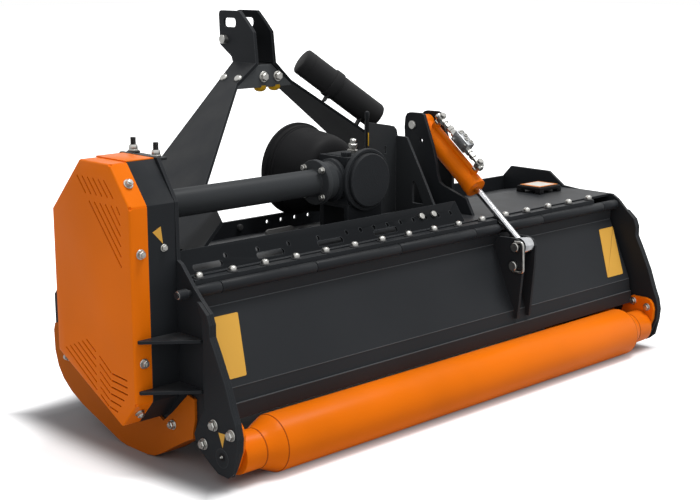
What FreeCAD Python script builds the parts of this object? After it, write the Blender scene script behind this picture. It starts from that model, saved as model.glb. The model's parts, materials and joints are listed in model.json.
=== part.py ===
"""Rear-mounted flail mulcher for a tractor's three-point linkage.

Millimetres. X runs across the machine to the right-hand side plate, Y forward to the
tractor, Z up from the floor. The driving sizes are in the sheet, measured from the
machine's own datum: the mid-plane between the side plates, the hinge line of the rear
hood, and the floor. Every sub-part is then moved so that the origin is on the floor
under the middle of the whole machine.
"""

import FreeCAD
import Part
import Sketcher
import math
import os

doc = FreeCAD.newDocument("tractor_mulcher")
sheet = doc.addObject("Spreadsheet::Sheet", "sizes")
subparts = []


class Size:
    """A number together with the sheet formula that it comes from."""

    def __init__(self, value, formula):
        self.value = float(value)
        self.formula = formula

    def __add__(self, other):
        other = as_size(other)
        return Size(self.value + other.value, f"({self.formula} + {other.formula})")

    def __sub__(self, other):
        other = as_size(other)
        return Size(self.value - other.value, f"({self.formula} - {other.formula})")

    def __mul__(self, factor):
        return Size(self.value * factor, f"({self.formula} * {factor})")

    def __neg__(self):
        return Size(-self.value, f"(-{self.formula})")


def as_size(number):
    """A bare number is its own formula."""
    return number if isinstance(number, Size) else Size(number, str(float(number)))


def size(alias, value):
    """Put one driving size in the next row of the sheet."""
    row = size.rows = getattr(size, "rows", 0) + 1
    sheet.set(f"A{row}", alias)
    sheet.set(f"B{row}", str(value))
    sheet.setAlias(f"B{row}", alias)
    return Size(value, f"sizes.{alias}")


def heading(rise, run):
    """The angle whose tangent is rise over run, in degrees."""
    angle = math.degrees(math.atan2(rise.value, run.value))
    return Size(angle, f"atan2({rise.formula}; {run.formula})")


def along(length, angle):
    """Length times the tangent of an angle."""
    value = length.value * math.tan(math.radians(angle.value))
    return Size(value, f"({length.formula} * tan({angle.formula} * 1deg))")


def over_cosine(length, angle):
    """Length divided by the cosine of an angle: how wide a tilted sheet is, level."""
    value = length.value / math.cos(math.radians(angle.value))
    return Size(value, f"({length.formula} / cos({angle.formula} * 1deg))")


# ------------------------------------------------------------------ driving sizes

# Overall: side plates, deck and hinge line
inner_half = size("inner_half_width", 825)
side_sheet = size("side_plate_sheet", 10)
deck_z = size("deck_height", 466)
deck_sheet = size("deck_sheet", 8)
deck_rear = size("deck_rear_y", 14)
deck_fold = size("deck_fold_y", 250)
housing_front = size("housing_front_y", 445)
beam_sheet = size("front_beam_sheet", 8)
beam_drop = size("front_beam_foot_drop", 36)
beam_rise = size("front_beam_rise", 9)
beam_low_z = deck_z - beam_drop
beam_top_z = deck_z + beam_rise
seat = size("fixed_pin_seat", 0.03)

# Hood hinge: fixed leaf, knuckles and rod
hinge_y = size("hinge_line_y", -10)
hinge_drop = size("hinge_line_drop", 31)
hinge_z = deck_z - hinge_drop
knuckle_r = size("knuckle_radius", 15)
rod_r = size("hinge_rod_radius", 8)
hinge_rod_gap = size("hinge_rod_clearance", 0.08)
knuckle_pitch = size("knuckle_pitch", 300)
knuckle_gap = size("knuckle_end_gap", 2)
leaf_sheet = size("hinge_leaf_sheet", 12)

# Rear hood, in section from the hinge to the lower lip
hood_sheet = size("hood_sheet", 5)
hood_neck = size("hood_neck_height", 44)
hood_top_z = hinge_z - hood_neck
hood_top_y = size("hood_upper_fold_y", -6)
hood_low_y = size("hood_lower_fold_y", -86)
hood_low_z = size("hood_lower_fold_z", 213)
hood_lip_y = size("hood_lip_y", -92)
hood_ledge_z = size("hood_ledge_z", 176)
hood_ledge = size("hood_ledge_depth", 5)
hood_lip_z = size("hood_lip_z", 138)
hood_return = size("hood_return_depth", 38)
hood_side_gap = size("hood_side_gap", 17)

# Roller
roller_y = size("roller_y", -127)
roller_r = size("roller_radius", 70)
roller_half = size("roller_half_length", 700)
roller_neck_r = size("roller_neck_radius", 48)
roller_cone = size("roller_cone_length", 48)
roller_stub_r = size("roller_stub_radius", 22)
stub_gap = size("stub_clearance", 0.08)
bearing_plate = size("roller_bearing_plate", 12)
bracket_sheet = size("roller_bracket_sheet", 10)

# Rotor
rotor_y = size("rotor_y", 195)
rotor_z = size("rotor_z", 242)
rotor_r = size("rotor_tube_radius", 105)
tip_gap = size("hammer_tip_clearance", 24)
hammer_tip = deck_z - deck_sheet - rotor_z - tip_gap
hammer_wide = size("hammer_width", 70)
hammer_thick = size("hammer_thickness", 34)
shaft_r = size("rotor_shaft_radius", 30)
shaft_gap = size("rotor_shaft_clearance", 0.08)
bearing_r = size("rotor_bearing_radius", 58)
bearing_long = size("rotor_bearing_length", 42)

# Three-point hitch, gearbox line
pto_x = size("gearbox_x", -130)
drive_y = size("drive_line_y", 190)
drive_z = size("drive_line_z", 603)
tube_r = size("drive_tube_radius", 35)
flange_r = size("drive_flange_radius", 60)
flange_thick = size("drive_flange_thickness", 16)
box_half = size("gearbox_half_width", 64)
box_deep = size("gearbox_half_depth", 55)
box_high = size("gearbox_half_height", 64)
cap_r = size("gearbox_cap_radius", 84)
cap_step_r = size("gearbox_cap_step_radius", 72)
cap_long = size("gearbox_cap_length", 25)
pto_r = size("pto_shaft_radius", 17.5)
pto_long = size("pto_shaft_length", 96)
pto_root_r = size("pto_shaft_root_radius", 22)
pto_shoulder = size("pto_shaft_shoulder", 2)
pto_gap = size("pto_shaft_clearance", 0.08)
nose_r = size("gearbox_nose_radius", 55)
nose_long = size("gearbox_nose_length", 40)
guard_wall = size("pto_guard_wall", 4)
guard_back_r = size("pto_guard_back_radius", 62)
guard_mouth_r = size("pto_guard_mouth_radius", 132)
guard_long = size("pto_guard_length", 158)
guard_band = size("pto_guard_band", 40)

# A-frame tower
tower_half = size("tower_half_width", 38)
tower_sheet = size("tower_sheet", 10)
tower_bend_z = size("tower_bend_z", 893)
tower_front = size("tower_front_y", 700)
tower_rear = size("tower_rear_y", 536)
tower_top_z = size("tower_top_z", 1038)
leg_lean = size("leg_lean", 50)
leg_front_foot = size("leg_front_foot_y", 575)
leg_rear_lean = size("leg_rear_edge_lean", 21)
link_pin_r = size("top_link_pin_radius", 12.7)
link_pin_y = size("top_link_pin_y", 672)
link_pin_z = size("top_link_pin_z", 956)
slot_low = size("top_link_slot_z", 991)
slot_high = size("top_link_slot_height", 26)
slot_back = size("top_link_slot_y", 624)
slot_long = size("top_link_slot_length", 56)
gusset_sheet = size("gusset_sheet", 8)
gusset_low_z = size("gusset_low_z", 823)

# Lower links
link_span = size("lower_link_shoulder_span", 825)
lower_pin_r = size("lower_link_pin_radius", 14)
lower_pin_long = size("lower_link_pin_length", 95)
lower_root_r = size("lower_link_pin_root_radius", 18)
lower_head_r = size("lower_link_pin_head_radius", 25)
lower_head = size("lower_link_pin_head", 9)
lower_pin_z = size("lower_link_pin_z", 346)
lower_pin_y = size("lower_link_pin_y", 640)
ear_sheet = size("lower_link_ear_sheet", 16)

# Belt drive at the left-hand end
belt_wide = size("belt_drive_width", 125)
cover_out = inner_half + side_sheet + belt_wide
cover_rim = size("belt_cover_rim", 48)
cover_sheet = size("belt_cover_sheet", 4)
belt_front = size("belt_cover_front_y", 357)
belt_rear = size("belt_cover_rear_y", 39)
belt_top = size("belt_cover_top_z", 731)
belt_shoulder_z = size("belt_cover_shoulder_z", 639)
belt_top_front = size("belt_cover_top_front_y", 233)
belt_top_rear = size("belt_cover_top_rear_y", 112)
belt_front_high = size("belt_cover_front_high_z", 601)
belt_front_low = size("belt_cover_front_low_z", 250)
belt_rear_low = size("belt_cover_rear_low_z", 181)
belt_foot_y = size("belt_cover_foot_y", 97)
belt_foot_z = size("belt_cover_foot_z", 117)
belt_sheet = size("belt_box_sheet", 6)

# Hood cylinder
cyl_x = size("cylinder_x", 272)
cyl_pin_y = size("cylinder_pin_y", 300)
cyl_pin_z = size("cylinder_pin_z", 706)
eye_pin_y = size("rod_eye_pin_y", -91)
eye_pin_z = size("rod_eye_pin_z", 396)
cyl_r = size("cylinder_barrel_radius", 29)
cyl_long = size("cylinder_barrel_length", 272)
cyl_eye_r = size("cylinder_eye_radius", 27)
piston_r = size("piston_rod_radius", 10)
piston_gap = size("piston_rod_clearance", 0.05)
bore_depth = size("cylinder_bore_depth", 215)
rod_inside = size("piston_rod_inside", 100)
rod_eye_r = size("rod_eye_radius", 24)
pin_r = size("cylinder_pin_radius", 12.5)
clevis_pin_r = size("clevis_pin_radius", 10)
eye_play = size("rod_eye_play", 7.4)
pin_gap = size("cylinder_pin_clearance", 0.08)
cheek_play = size("cylinder_cheek_play", 2)
cheek_gap = (cyl_r + cheek_play) * 2
cheek_sheet = size("cylinder_cheek_sheet", 10)
clevis_gap = size("hood_clevis_gap", 44)
clevis_sheet = size("hood_clevis_sheet", 8)
eye_wide = size("rod_eye_width", 36)

# Skids
skid_wide = size("skid_width", 60)

# The origin lies on the floor under the middle of the machine
shaft_nub = size("rotor_shaft_nub", 4)
span_right = inner_half + side_sheet + bearing_long + shaft_nub
mid_x = (span_right - cover_out) * 0.5
mid_y = (tower_front + roller_y - roller_r) * 0.5

sheet.recompute()


# ------------------------------------------------------------------ ways of making

def bind(obj, path, value):
    """Tie one property of an object to its formula."""
    obj.setExpression(path, as_size(value).formula)


def settle(obj, label):
    """Name a finished sub-part and move it from the machine's datum to the origin."""
    obj.Label = label
    bind(obj, "Placement.Base.x", as_size(0) - mid_x)
    bind(obj, "Placement.Base.y", as_size(0) - mid_y)
    subparts.append(obj)
    return obj


def new_body(name):
    return doc.addObject("PartDesign::Body", name)


def sketch_on(body, role, name, offset):
    """A sketch on one of the body's origin planes, set off along its normal."""
    sketch = body.newObject("Sketcher::SketchObject", name)
    plane = next(item for item in body.Origin.OriginFeatures if item.Role == role)
    sketch.AttachmentSupport = [(plane, "")]
    sketch.MapMode = "FlatFace"
    bind(sketch, "AttachmentOffset.Base.z", offset)
    return sketch


def draw_outline(sketch, points):
    """A closed run of straight lines, each corner tied to its formulas."""
    corners = [(as_size(a), as_size(b)) for a, b in points]
    count = len(corners)
    places = [FreeCAD.Vector(a.value, b.value, 0) for a, b in corners]
    lines = [sketch.addGeometry(Part.LineSegment(places[i], places[(i + 1) % count]), False)
             for i in range(count)]
    for i in range(count):
        sketch.addConstraint(Sketcher.Constraint("Coincident", lines[i], 2, lines[(i + 1) % count], 1))
    for line, (a, b) in zip(lines, corners):
        for kind, value in (("DistanceX", a), ("DistanceY", b)):
            index = sketch.addConstraint(Sketcher.Constraint(kind, line, 1, value.value))
            bind(sketch, f"Constraints[{index}]", value)


def draw_circle(sketch, a, b, radius):
    """A circle whose centre and radius are tied to their formulas."""
    a, b, radius = as_size(a), as_size(b), as_size(radius)
    round_edge = Part.Circle(FreeCAD.Vector(a.value, b.value, 0), FreeCAD.Vector(0, 0, 1), radius.value)
    circle = sketch.addGeometry(round_edge, False)
    for kind, value in (("DistanceX", a), ("DistanceY", b)):
        index = sketch.addConstraint(Sketcher.Constraint(kind, circle, 3, value.value))
        bind(sketch, f"Constraints[{index}]", value)
    index = sketch.addConstraint(Sketcher.Constraint("Radius", circle, radius.value))
    bind(sketch, f"Constraints[{index}]", radius)


def pad(body, sketch, length, name="pad"):
    feature = body.newObject("PartDesign::Pad", name)
    feature.Profile = sketch
    bind(feature, "Length", length)
    return feature


def sheet_across(name, start, thickness, points, holes=(), windows=()):
    """A flat plate square to X: its outline is in (Y, Z), its left face at start."""
    body = new_body(name)
    sketch = sketch_on(body, "YZ_Plane", name + "_outline", start)
    draw_outline(sketch, points)
    for hole in holes:
        draw_circle(sketch, *hole)
    for window in windows:
        draw_outline(sketch, window)
    pad(body, sketch, thickness)
    return body


def sheet_facing(name, rear, thickness, points, holes=(), windows=()):
    """A flat plate square to Y: its outline is in (X, Z), its rear face at rear."""
    body = new_body(name)
    sketch = sketch_on(body, "XZ_Plane", name + "_outline", as_size(0) - rear - thickness)
    draw_outline(sketch, points)
    for hole in holes:
        draw_circle(sketch, *hole)
    for window in windows:
        draw_outline(sketch, window)
    pad(body, sketch, thickness)
    return body


def sheet_level(name, low, thickness, points, holes=(), windows=()):
    """A flat plate square to Z: its outline is in (X, Y), its underside at low."""
    body = new_body(name)
    sketch = sketch_on(body, "XY_Plane", name + "_outline", low)
    draw_outline(sketch, points)
    for hole in holes:
        draw_circle(sketch, *hole)
    for window in windows:
        draw_outline(sketch, window)
    pad(body, sketch, thickness)
    return body


def turned(name, points, axis):
    """A solid of revolution: points are (along, radius) about X, or (radius, along) about Y."""
    body = new_body(name)
    sketch = sketch_on(body, "XY_Plane", name + "_section", 0)
    draw_outline(sketch, points)
    feature = body.newObject("PartDesign::Revolution", "turn")
    feature.Profile = sketch
    feature.ReferenceAxis = (sketch, ["H_Axis" if axis == "X" else "V_Axis"])
    feature.Angle = 360
    return body


def place(obj, x, y, z):
    """Put an object down at a point that is tied to its formulas."""
    for path, value in (("x", x), ("y", y), ("z", z)):
        bind(obj, "Placement.Base." + path, value)
    return obj


TURN_TO = {
    "X": FreeCAD.Rotation(FreeCAD.Vector(0, 1, 0), 90),
    "Y": FreeCAD.Rotation(FreeCAD.Vector(1, 0, 0), -90),
    "Z": FreeCAD.Rotation(),
}


def rod(name, axis, x, y, z, length, radius):
    """A round bar that starts at a point and runs along an axis."""
    bar = doc.addObject("Part::Cylinder", name)
    bind(bar, "Radius", radius)
    bind(bar, "Height", length)
    bar.Placement = FreeCAD.Placement(FreeCAD.Vector(), TURN_TO[axis])
    return place(bar, x, y, z)


def block(name, x, y, z, wide, deep, high):
    """A plain box from its lowest corner."""
    solid = doc.addObject("Part::Box", name)
    for path, value in (("Length", wide), ("Width", deep), ("Height", high)):
        bind(solid, path, value)
    return place(solid, x, y, z)


def fuse(name, shapes):
    joined = doc.addObject("Part::MultiFuse", name)
    joined.Shapes = shapes
    return joined


def cut(name, base, tool):
    result = doc.addObject("Part::Cut", name)
    result.Base = base
    result.Tool = tool
    return result


def group(name, shapes):
    """Like pieces that don't touch, kept as one sub-part."""
    loose = doc.addObject("Part::Compound", name)
    loose.Links = shapes
    return loose


# ------------------------------------------------------------------ side plates

outer_face = inner_half + side_sheet
rear_edge = [
    (-20, deck_z - 13), (-52, deck_z - 43), (-82, deck_z - 68), (-91, deck_z - 92), (-91, deck_z - 120),
    (-113, 305), (-142, 246), (-164, 187), (-176, 160), (-183, 127), (-180, 94), (-160, 46),
]
skid_line = [
    (568, 236), (566, 182), (553, 142), (531, 112), (497, 86), (448, 62), (400, 45), (352, 29), (312, 15),
    (280, 4), (250, 0), (165, 0), (136, 5), (106, 19), (70, 41), (22, 68), (-30, 92),
]
belly = [
    (553, 236), (551, 186), (539, 149), (519, 122), (489, 99), (442, 76), (395, 59), (347, 43), (307, 29),
    (277, 18), (248, 14), (168, 14), (141, 19), (112, 32), (76, 54), (28, 81), (-23, 106),
]
front_edge = [(570, 330), (570, 250)]
rear_foot = [(-48, 67), (-75, 48), (-110, 28), (-147, 26)]
axle_hole = (roller_y, roller_r, roller_stub_r + stub_gap)
shaft_hole = (rotor_y, rotor_z, shaft_r + shaft_gap)
drive_hole = (drive_y, drive_z, tube_r + seat)
hinge_hole = (hinge_y, hinge_z, rod_r + seat)

right_outline = [
    (3, deck_z), (133, deck_z), (193, deck_z + 5), (251, deck_z + 45), (409, deck_z + 45),
    (442, deck_z + 10), *front_edge, *belly, *rear_foot, *reversed(rear_edge),
]
left_outline = [
    (22, deck_z + 31), (36, deck_z + 38), (38, belt_shoulder_z), (103, belt_top + 4),
    (250, belt_top + 4), (372, belt_front_high + 16), (409, deck_z + 45), (442, deck_z + 10),
    *front_edge, *belly, *rear_foot, *reversed(rear_edge),
]
settle(sheet_across("side_plate_left", -outer_face, side_sheet, left_outline,
                    [axle_hole, shaft_hole, drive_hole, hinge_hole]), "side_plate_left")
settle(sheet_across("side_plate_right", inner_half, side_sheet, right_outline,
                    [axle_hole, shaft_hole, hinge_hole]), "side_plate_right")

# ------------------------------------------------------------------ rotor housing

beam_rear = housing_front - beam_sheet


def on_slope(y):
    """Height of the deck's sloping front part at a place along Y."""
    y = as_size(y)
    share = (y.value - deck_fold.value) / (beam_rear.value - deck_fold.value)
    value = deck_z.value + (beam_low_z.value - deck_z.value) * share
    return Size(value, f"({deck_z.formula} + ({beam_low_z.formula} - {deck_z.formula})"
                       f" * ({y.formula} - {deck_fold.formula})"
                       f" / ({beam_rear.formula} - {deck_fold.formula}))")


# Top sheet over the rotor, between the side plates, folded down towards the front
settle(sheet_across("deck_plate", -inner_half, inner_half * 2, [
    (deck_rear, deck_z - deck_sheet), (deck_rear, deck_z), (deck_fold, deck_z), (beam_rear, beam_low_z),
    (beam_rear, beam_low_z - deck_sheet), (deck_fold, deck_z - deck_sheet),
]), "deck_plate")

# Folded front wall, leaning forward to the intake
wall = size("front_wall_sheet", 8)
settle(sheet_across("front_wall", -inner_half, inner_half * 2, [
    (housing_front, beam_low_z - deck_sheet), (housing_front, beam_low_z),
    (housing_front + wall, beam_low_z), (566, 330), (566, 260), (558, 260), (558, 327),
]), "front_wall")

# Punched beam that stands across the front end of the deck
beam_hole_r = size("front_beam_hole_radius", 6)
beam_holes = [(-217 + 52 * step, beam_top_z - 18, beam_hole_r) for step in range(4)]
settle(sheet_facing("front_beam", beam_rear, beam_sheet, [
    (-inner_half, beam_low_z - deck_sheet), (inner_half, beam_low_z - deck_sheet),
    (inner_half, beam_top_z), (-inner_half, beam_top_z),
], beam_holes), "front_beam")

# Punched rail that stands along the rear of the deck, its top leaning forward
rail_foot = size("rail_foot_y", 21)
rail_lean = size("rail_lean_run", 38)
rail_sheet = size("rail_sheet", 7)
rail_high = size("rail_height", 53)
rail_end = size("rail_right_end_x", 150)
rail_hole_r = size("rail_hole_radius", 5.5)
rail_plate = sheet_across("rail_plate", -inner_half, inner_half + rail_end, [
    (rail_foot, deck_z), (rail_foot + rail_sheet, deck_z),
    (rail_foot + rail_sheet + rail_lean, deck_z + rail_high - 3), (rail_foot + rail_lean, deck_z + rail_high),
])
rail_slot_high = size("rail_slot_height", 13)
rail_slot_span = size("rail_slot_span", 75)
rail_hole_places = [-790 + 100 * step for step in range(1, 6)] + [-240 + 50 * step for step in range(8)]
rail_holes = fuse("rail_holes", [
    rod(f"rail_hole_{index}", "Y", across, rail_foot - 10, deck_z + rail_high * 0.5,
        rail_lean + 30, rail_hole_r)
    for index, across in enumerate(rail_hole_places)
])
rail_cuts = [rail_holes]
for index, across in enumerate([-750, -556, -356, -155]):
    slot_start = as_size(across) - rail_slot_span * 0.5
    rail_cuts.append(fuse(f"rail_slot_{index}", [
        rod(f"rail_slot_left_{index}", "Y", slot_start, rail_foot - 10, deck_z + rail_slot_high,
            rail_lean + 30, rail_slot_high * 0.5),
        rod(f"rail_slot_right_{index}", "Y", slot_start + rail_slot_span, rail_foot - 10,
            deck_z + rail_slot_high, rail_lean + 30, rail_slot_high * 0.5),
        block(f"rail_slot_middle_{index}", slot_start, rail_foot - 10, deck_z + rail_slot_high * 0.5,
              rail_slot_span, rail_lean + 30, rail_slot_high),
    ]))
settle(cut("punched_rail_solid", rail_plate, fuse("rail_cuts", rail_cuts)), "punched_rail")

# ------------------------------------------------------------------ hood hinge

# Fixed leaf: a strip bolted to the rear edge of the deck
leaf_gap = size("hinge_leaf_gap", 0.1)
leaf_low = hinge_z + knuckle_r + leaf_gap
leaf_end = size("hinge_leaf_right_end_x", 715)
notch_side = size("rod_notch_side_gap", 8)
notch_wall = size("rod_notch_wall", 3)
notch_left = cyl_x - piston_r - notch_side
notch_right = cyl_x + piston_r + notch_side
settle(sheet_level("hinge_leaf", leaf_low, leaf_sheet, [
    (-inner_half + 5, hinge_y), (notch_left, hinge_y), (notch_left, deck_rear - notch_wall),
    (notch_right, deck_rear - notch_wall), (notch_right, hinge_y), (leaf_end, hinge_y),
    (leaf_end, deck_rear), (-inner_half + 5, deck_rear),
]), "hinge_leaf")

fixed_spans = [
    (-inner_half + 1, knuckle_pitch * -2.5), (knuckle_pitch * -1.5, knuckle_pitch * -0.5),
    (knuckle_pitch * 0.5, notch_left), (notch_right, knuckle_pitch * 1.5),
    (knuckle_pitch * 2.5, inner_half - 1),
]
moving_spans = [
    (knuckle_pitch * -2.5, knuckle_pitch * -1.5), (knuckle_pitch * -0.5, knuckle_pitch * 0.5),
    (knuckle_pitch * 1.5, knuckle_pitch * 2.5),
]


def knuckles(name, spans):
    """Hinge tubes from groove to groove, bored for the rod."""
    tubes = []
    for step, (first, last) in enumerate(spans):
        body = new_body(f"{name}_{step}")
        sketch = sketch_on(body, "YZ_Plane", f"{name}_ring_{step}", first + knuckle_gap * 0.5)
        draw_circle(sketch, hinge_y, hinge_z, knuckle_r)
        draw_circle(sketch, hinge_y, hinge_z, rod_r + hinge_rod_gap)
        pad(body, sketch, last - first - knuckle_gap)
        tubes.append(body)
    return settle(group(name, tubes), name)


knuckles("hinge_knuckles_fixed", fixed_spans)
knuckles("hinge_knuckles_moving", moving_spans)

rod_over = size("hinge_rod_overhang", 40)
settle(group("hinge_rod_group", [
    rod("hinge_rod_bar", "X", -outer_face - rod_over, hinge_y, hinge_z,
        outer_face * 2 + rod_over + 20, rod_r),
]), "hinge_rod")

# ------------------------------------------------------------------ hood

hood_low_in = [
    (hood_lip_y + hood_return, hood_lip_z - 7), (hood_lip_y + hood_return, hood_lip_z - 2),
    (hood_lip_y + 6, hood_lip_z + 3), (hood_low_y + hood_sheet * 1.2, hood_low_z + 1),
]
hood_section = [
    (hinge_y + 2, hinge_z - knuckle_r), (hood_top_y, hood_top_z), (hood_low_y, hood_low_z),
    (hood_lip_y + 1, hood_ledge_z), (hood_lip_y + 1 - hood_ledge, hood_ledge_z),
    (hood_lip_y + 1 - hood_ledge, hood_lip_z),
] + hood_low_in + [
    (hood_top_y + hood_sheet * 1.2, hood_top_z + 1),
    (hinge_y + 2 + hood_sheet * 1.2, hinge_z - knuckle_r + 1),
]
settle(sheet_across("hood_panel", -(inner_half - hood_side_gap), (inner_half - hood_side_gap) * 2,
                    hood_section), "hood_panel")

# Two cheeks welded on the hood, which hold the eye of the cylinder's rod
clevis_half = clevis_gap * 0.5
clevis_outline = [
    (-28, 418), (-86, 420), (-108, 412), (-117, 396), (-114, 332), (-100, 190), (-89.11, 190),
    (hood_low_y, hood_low_z), (hood_top_y, hood_top_z),
]
clevis_hole = (eye_pin_y, eye_pin_z, clevis_pin_r + seat)
cheeks = [
    sheet_across("clevis_cheek_left", cyl_x - clevis_half - clevis_sheet, clevis_sheet,
                 clevis_outline, [clevis_hole]),
    sheet_across("clevis_cheek_right", cyl_x + clevis_half, clevis_sheet,
                 clevis_outline, [clevis_hole]),
]
settle(group("hood_clevis_pair", cheeks), "hood_clevis")
pin_over = size("clevis_pin_overhang", 10)
settle(group("clevis_pin_group", [
    rod("clevis_pin_bar", "X", cyl_x - clevis_half - clevis_sheet - pin_over, eye_pin_y, eye_pin_z,
        clevis_gap + (clevis_sheet + pin_over) * 2, clevis_pin_r),
]), "clevis_pin")

# ------------------------------------------------------------------ hood cylinder

cyl_down = heading(cyl_pin_y - eye_pin_y, eye_pin_z - cyl_pin_z)
reach = math.hypot(cyl_pin_y.value - eye_pin_y.value, cyl_pin_z.value - eye_pin_z.value)
pin_span = Size(reach, f"sqrt(({(cyl_pin_y - eye_pin_y).formula})^2"
                       f" + ({(cyl_pin_z - eye_pin_z).formula})^2)")


def lean(obj):
    """Stand a piece made along Z on the cylinder's pin, pointing at the rod's eye."""
    axis = FreeCAD.Vector(1, 0, 0)
    obj.Placement = FreeCAD.Placement(FreeCAD.Vector(), FreeCAD.Rotation(axis, cyl_down.value))
    bind(obj, "Placement.Rotation.Angle", cyl_down)
    subparts.append(obj)
    return place(obj, cyl_x - mid_x, cyl_pin_y - mid_y, cyl_pin_z)


eye_half = size("barrel_eye_half_width", 26)
barrel = fuse("barrel_blank", [
    rod("barrel_tube", "Z", 0, 0, cyl_eye_r * 0.6, cyl_long - cyl_eye_r * 0.6, cyl_r),
    rod("barrel_gland", "Z", 0, 0, cyl_long - 30, 30, cyl_r + 2),
    rod("barrel_eye", "X", -eye_half, 0, 0, eye_half * 2, cyl_eye_r),
])
barrel_holes = fuse("barrel_holes", [
    rod("barrel_bore", "Z", 0, 0, cyl_long - bore_depth, bore_depth + 1, piston_r + piston_gap),
    rod("barrel_pin_hole", "X", -eye_half - 1, 0, 0, eye_half * 2 + 2, pin_r + pin_gap),
])
lean(cut("barrel_solid", barrel, barrel_holes)).Label = "cylinder_barrel"

eye_mid = pin_span
rod_start = cyl_long - rod_inside
piston = fuse("piston_blank", [
    rod("piston_bar", "Z", 0, 0, rod_start, eye_mid - rod_start, piston_r),
    rod("piston_eye", "X", -(eye_wide * 0.5), 0, eye_mid, eye_wide, rod_eye_r),
])
piston_hole = rod("piston_eye_hole", "X", -(eye_wide * 0.5) - 1, 0, eye_mid, eye_wide + 2,
                  clevis_pin_r + eye_play)
lean(cut("piston_solid", piston, piston_hole)).Label = "cylinder_rod"

valve_wide = size("valve_block_width", 44)
valve_deep = size("valve_block_depth", 38)
valve_long = size("valve_block_length", 150)
valve_start = size("valve_block_start", 62)
valve = block("valve_blank", -(valve_wide * 0.5), cyl_r, valve_start, valve_wide, valve_deep, valve_long)
lean(group("valve_group", [valve])).Label = "valve_block"

# Cheeks on the deck that hold the cylinder's upper pin, the left one with a low tail to the rear
cheek_half = cheek_gap * 0.5
cheek_top = [
    (cyl_pin_y - 80, cyl_pin_z - 57), (cyl_pin_y - 43, cyl_pin_z + 33), (cyl_pin_y - 31, cyl_pin_z + 37),
    (cyl_pin_y + 13, cyl_pin_z + 36), (cyl_pin_y + 24, cyl_pin_z + 32), (cyl_pin_y + 31, cyl_pin_z + 21),
    (cyl_pin_y + 34, cyl_pin_z - 9), (cyl_pin_y + 32, cyl_pin_z - 39), (cyl_pin_y + 12, cyl_pin_z - 56),
    (cyl_pin_y + 12, on_slope(cyl_pin_y + 12)), (deck_fold, deck_z),
]
cheek_tail = [
    (62, deck_z), (89, deck_z + 46), (178, deck_z + 74), (191, deck_z + 82), (200, deck_z + 102),
    (206, deck_z + 137),
]
cheek_hole = (cyl_pin_y, cyl_pin_z, pin_r + seat)
cheek_drain = (cyl_pin_y - 34, cyl_pin_z - 43, 6)
left_cheek = sheet_across("cheek_left", cyl_x - cheek_half - cheek_sheet, cheek_sheet,
                          cheek_tail + cheek_top, [cheek_hole, cheek_drain])
right_cheek = sheet_across("cheek_right", cyl_x + cheek_half, cheek_sheet,
                           [(206, deck_z), (206, deck_z + 137)] + cheek_top, [cheek_hole])
settle(group("cylinder_bracket_group", [left_cheek, right_cheek]), "cylinder_bracket")
pin_proud = size("cylinder_pin_proud", 3)
settle(group("cylinder_pin_group", [
    rod("cylinder_pin_bar", "X", cyl_x - cheek_half - cheek_sheet - pin_proud, cyl_pin_y, cyl_pin_z,
        cheek_gap + (cheek_sheet + pin_proud) * 2, pin_r),
]), "cylinder_pin")

# Upright plate beside the gearbox, whose right end is turned to the rear as a braced wing
upright_y = cyl_pin_y + 12
upright_sheet = size("upright_sheet", 8)
upright_left = size("upright_left_x", 50)
upright_right = size("upright_right_x", 181)
upright_foot = on_slope(upright_y)
upright_face = sheet_facing("upright_face", upright_y, upright_sheet, [
    (upright_left, upright_foot), (upright_left, cyl_pin_z + 22), (146, cyl_pin_z + 5), (167, cyl_pin_z),
    (177, cyl_pin_z - 11), (upright_right, cyl_pin_z - 28), (upright_right, upright_foot),
], (), [[(126, cyl_pin_z - 76), (132, cyl_pin_z - 76), (132, cyl_pin_z - 54), (126, cyl_pin_z - 54)]])
upright_wing = sheet_across("upright_wing", upright_right - upright_sheet, upright_sheet, [
    (145, deck_z), (160, deck_z + 26), (214, deck_z + 119), (269, deck_z + 210), (277, deck_z + 212),
    (upright_y + upright_sheet, cyl_pin_z - 28),
    (upright_y + upright_sheet, on_slope(upright_y + upright_sheet)),
    (deck_fold, deck_z),
], (), [[
    (201, deck_z + 22), (229, deck_z + 79), (241, deck_z + 88), (245, deck_z + 80), (244, deck_z + 22),
]])
settle(fuse("upright_solid", [upright_face, upright_wing]), "upright_plate")

# ------------------------------------------------------------------ rotor

rotor_long = (inner_half - 12) * 2
rotor_bar = rod("rotor_tube", "X", -(inner_half - 12), rotor_y, rotor_z, rotor_long, rotor_r)
shaft_out = size("rotor_shaft_overhang", 66)
rotor_shaft = rod("rotor_shaft_bar", "X", -outer_face - shaft_out, rotor_y, rotor_z,
                  outer_face * 2 + shaft_out + bearing_long + shaft_nub, shaft_r)
settle(fuse("rotor_drum_solid", [rotor_bar, rotor_shaft]), "rotor_drum")

hammer_rows = 4
hammer_columns = 14
hammer_pitch = 112
hammer_rise = hammer_tip - rotor_r
hammers = []
for row in range(hammer_rows):
    for column in range(hammer_columns):
        spin = 90.0 * row + 22.5 * (column % 4)
        across = -(hammer_pitch * (hammer_columns - 1)) / 2 + hammer_pitch * column
        name = f"hammer_{row}_{column}"
        hammer = doc.addObject("Part::Box", name)
        bind(hammer, "Length", hammer_wide)
        bind(hammer, "Width", hammer_thick)
        bind(hammer, "Height", hammer_rise)
        turn = FreeCAD.Rotation(FreeCAD.Vector(1, 0, 0), spin)
        foot = turn.multVec(FreeCAD.Vector(0, -hammer_thick.value / 2, rotor_r.value))
        hammer.Placement = FreeCAD.Placement(foot, turn)
        sine = math.sin(math.radians(spin))
        cosine = math.cos(math.radians(spin))
        place(hammer, as_size(across) - hammer_wide * 0.5,
              rotor_y - hammer_thick * (cosine / 2) - rotor_r * sine,
              rotor_z - hammer_thick * (sine / 2) + rotor_r * cosine)
        hammers.append(hammer)
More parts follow.
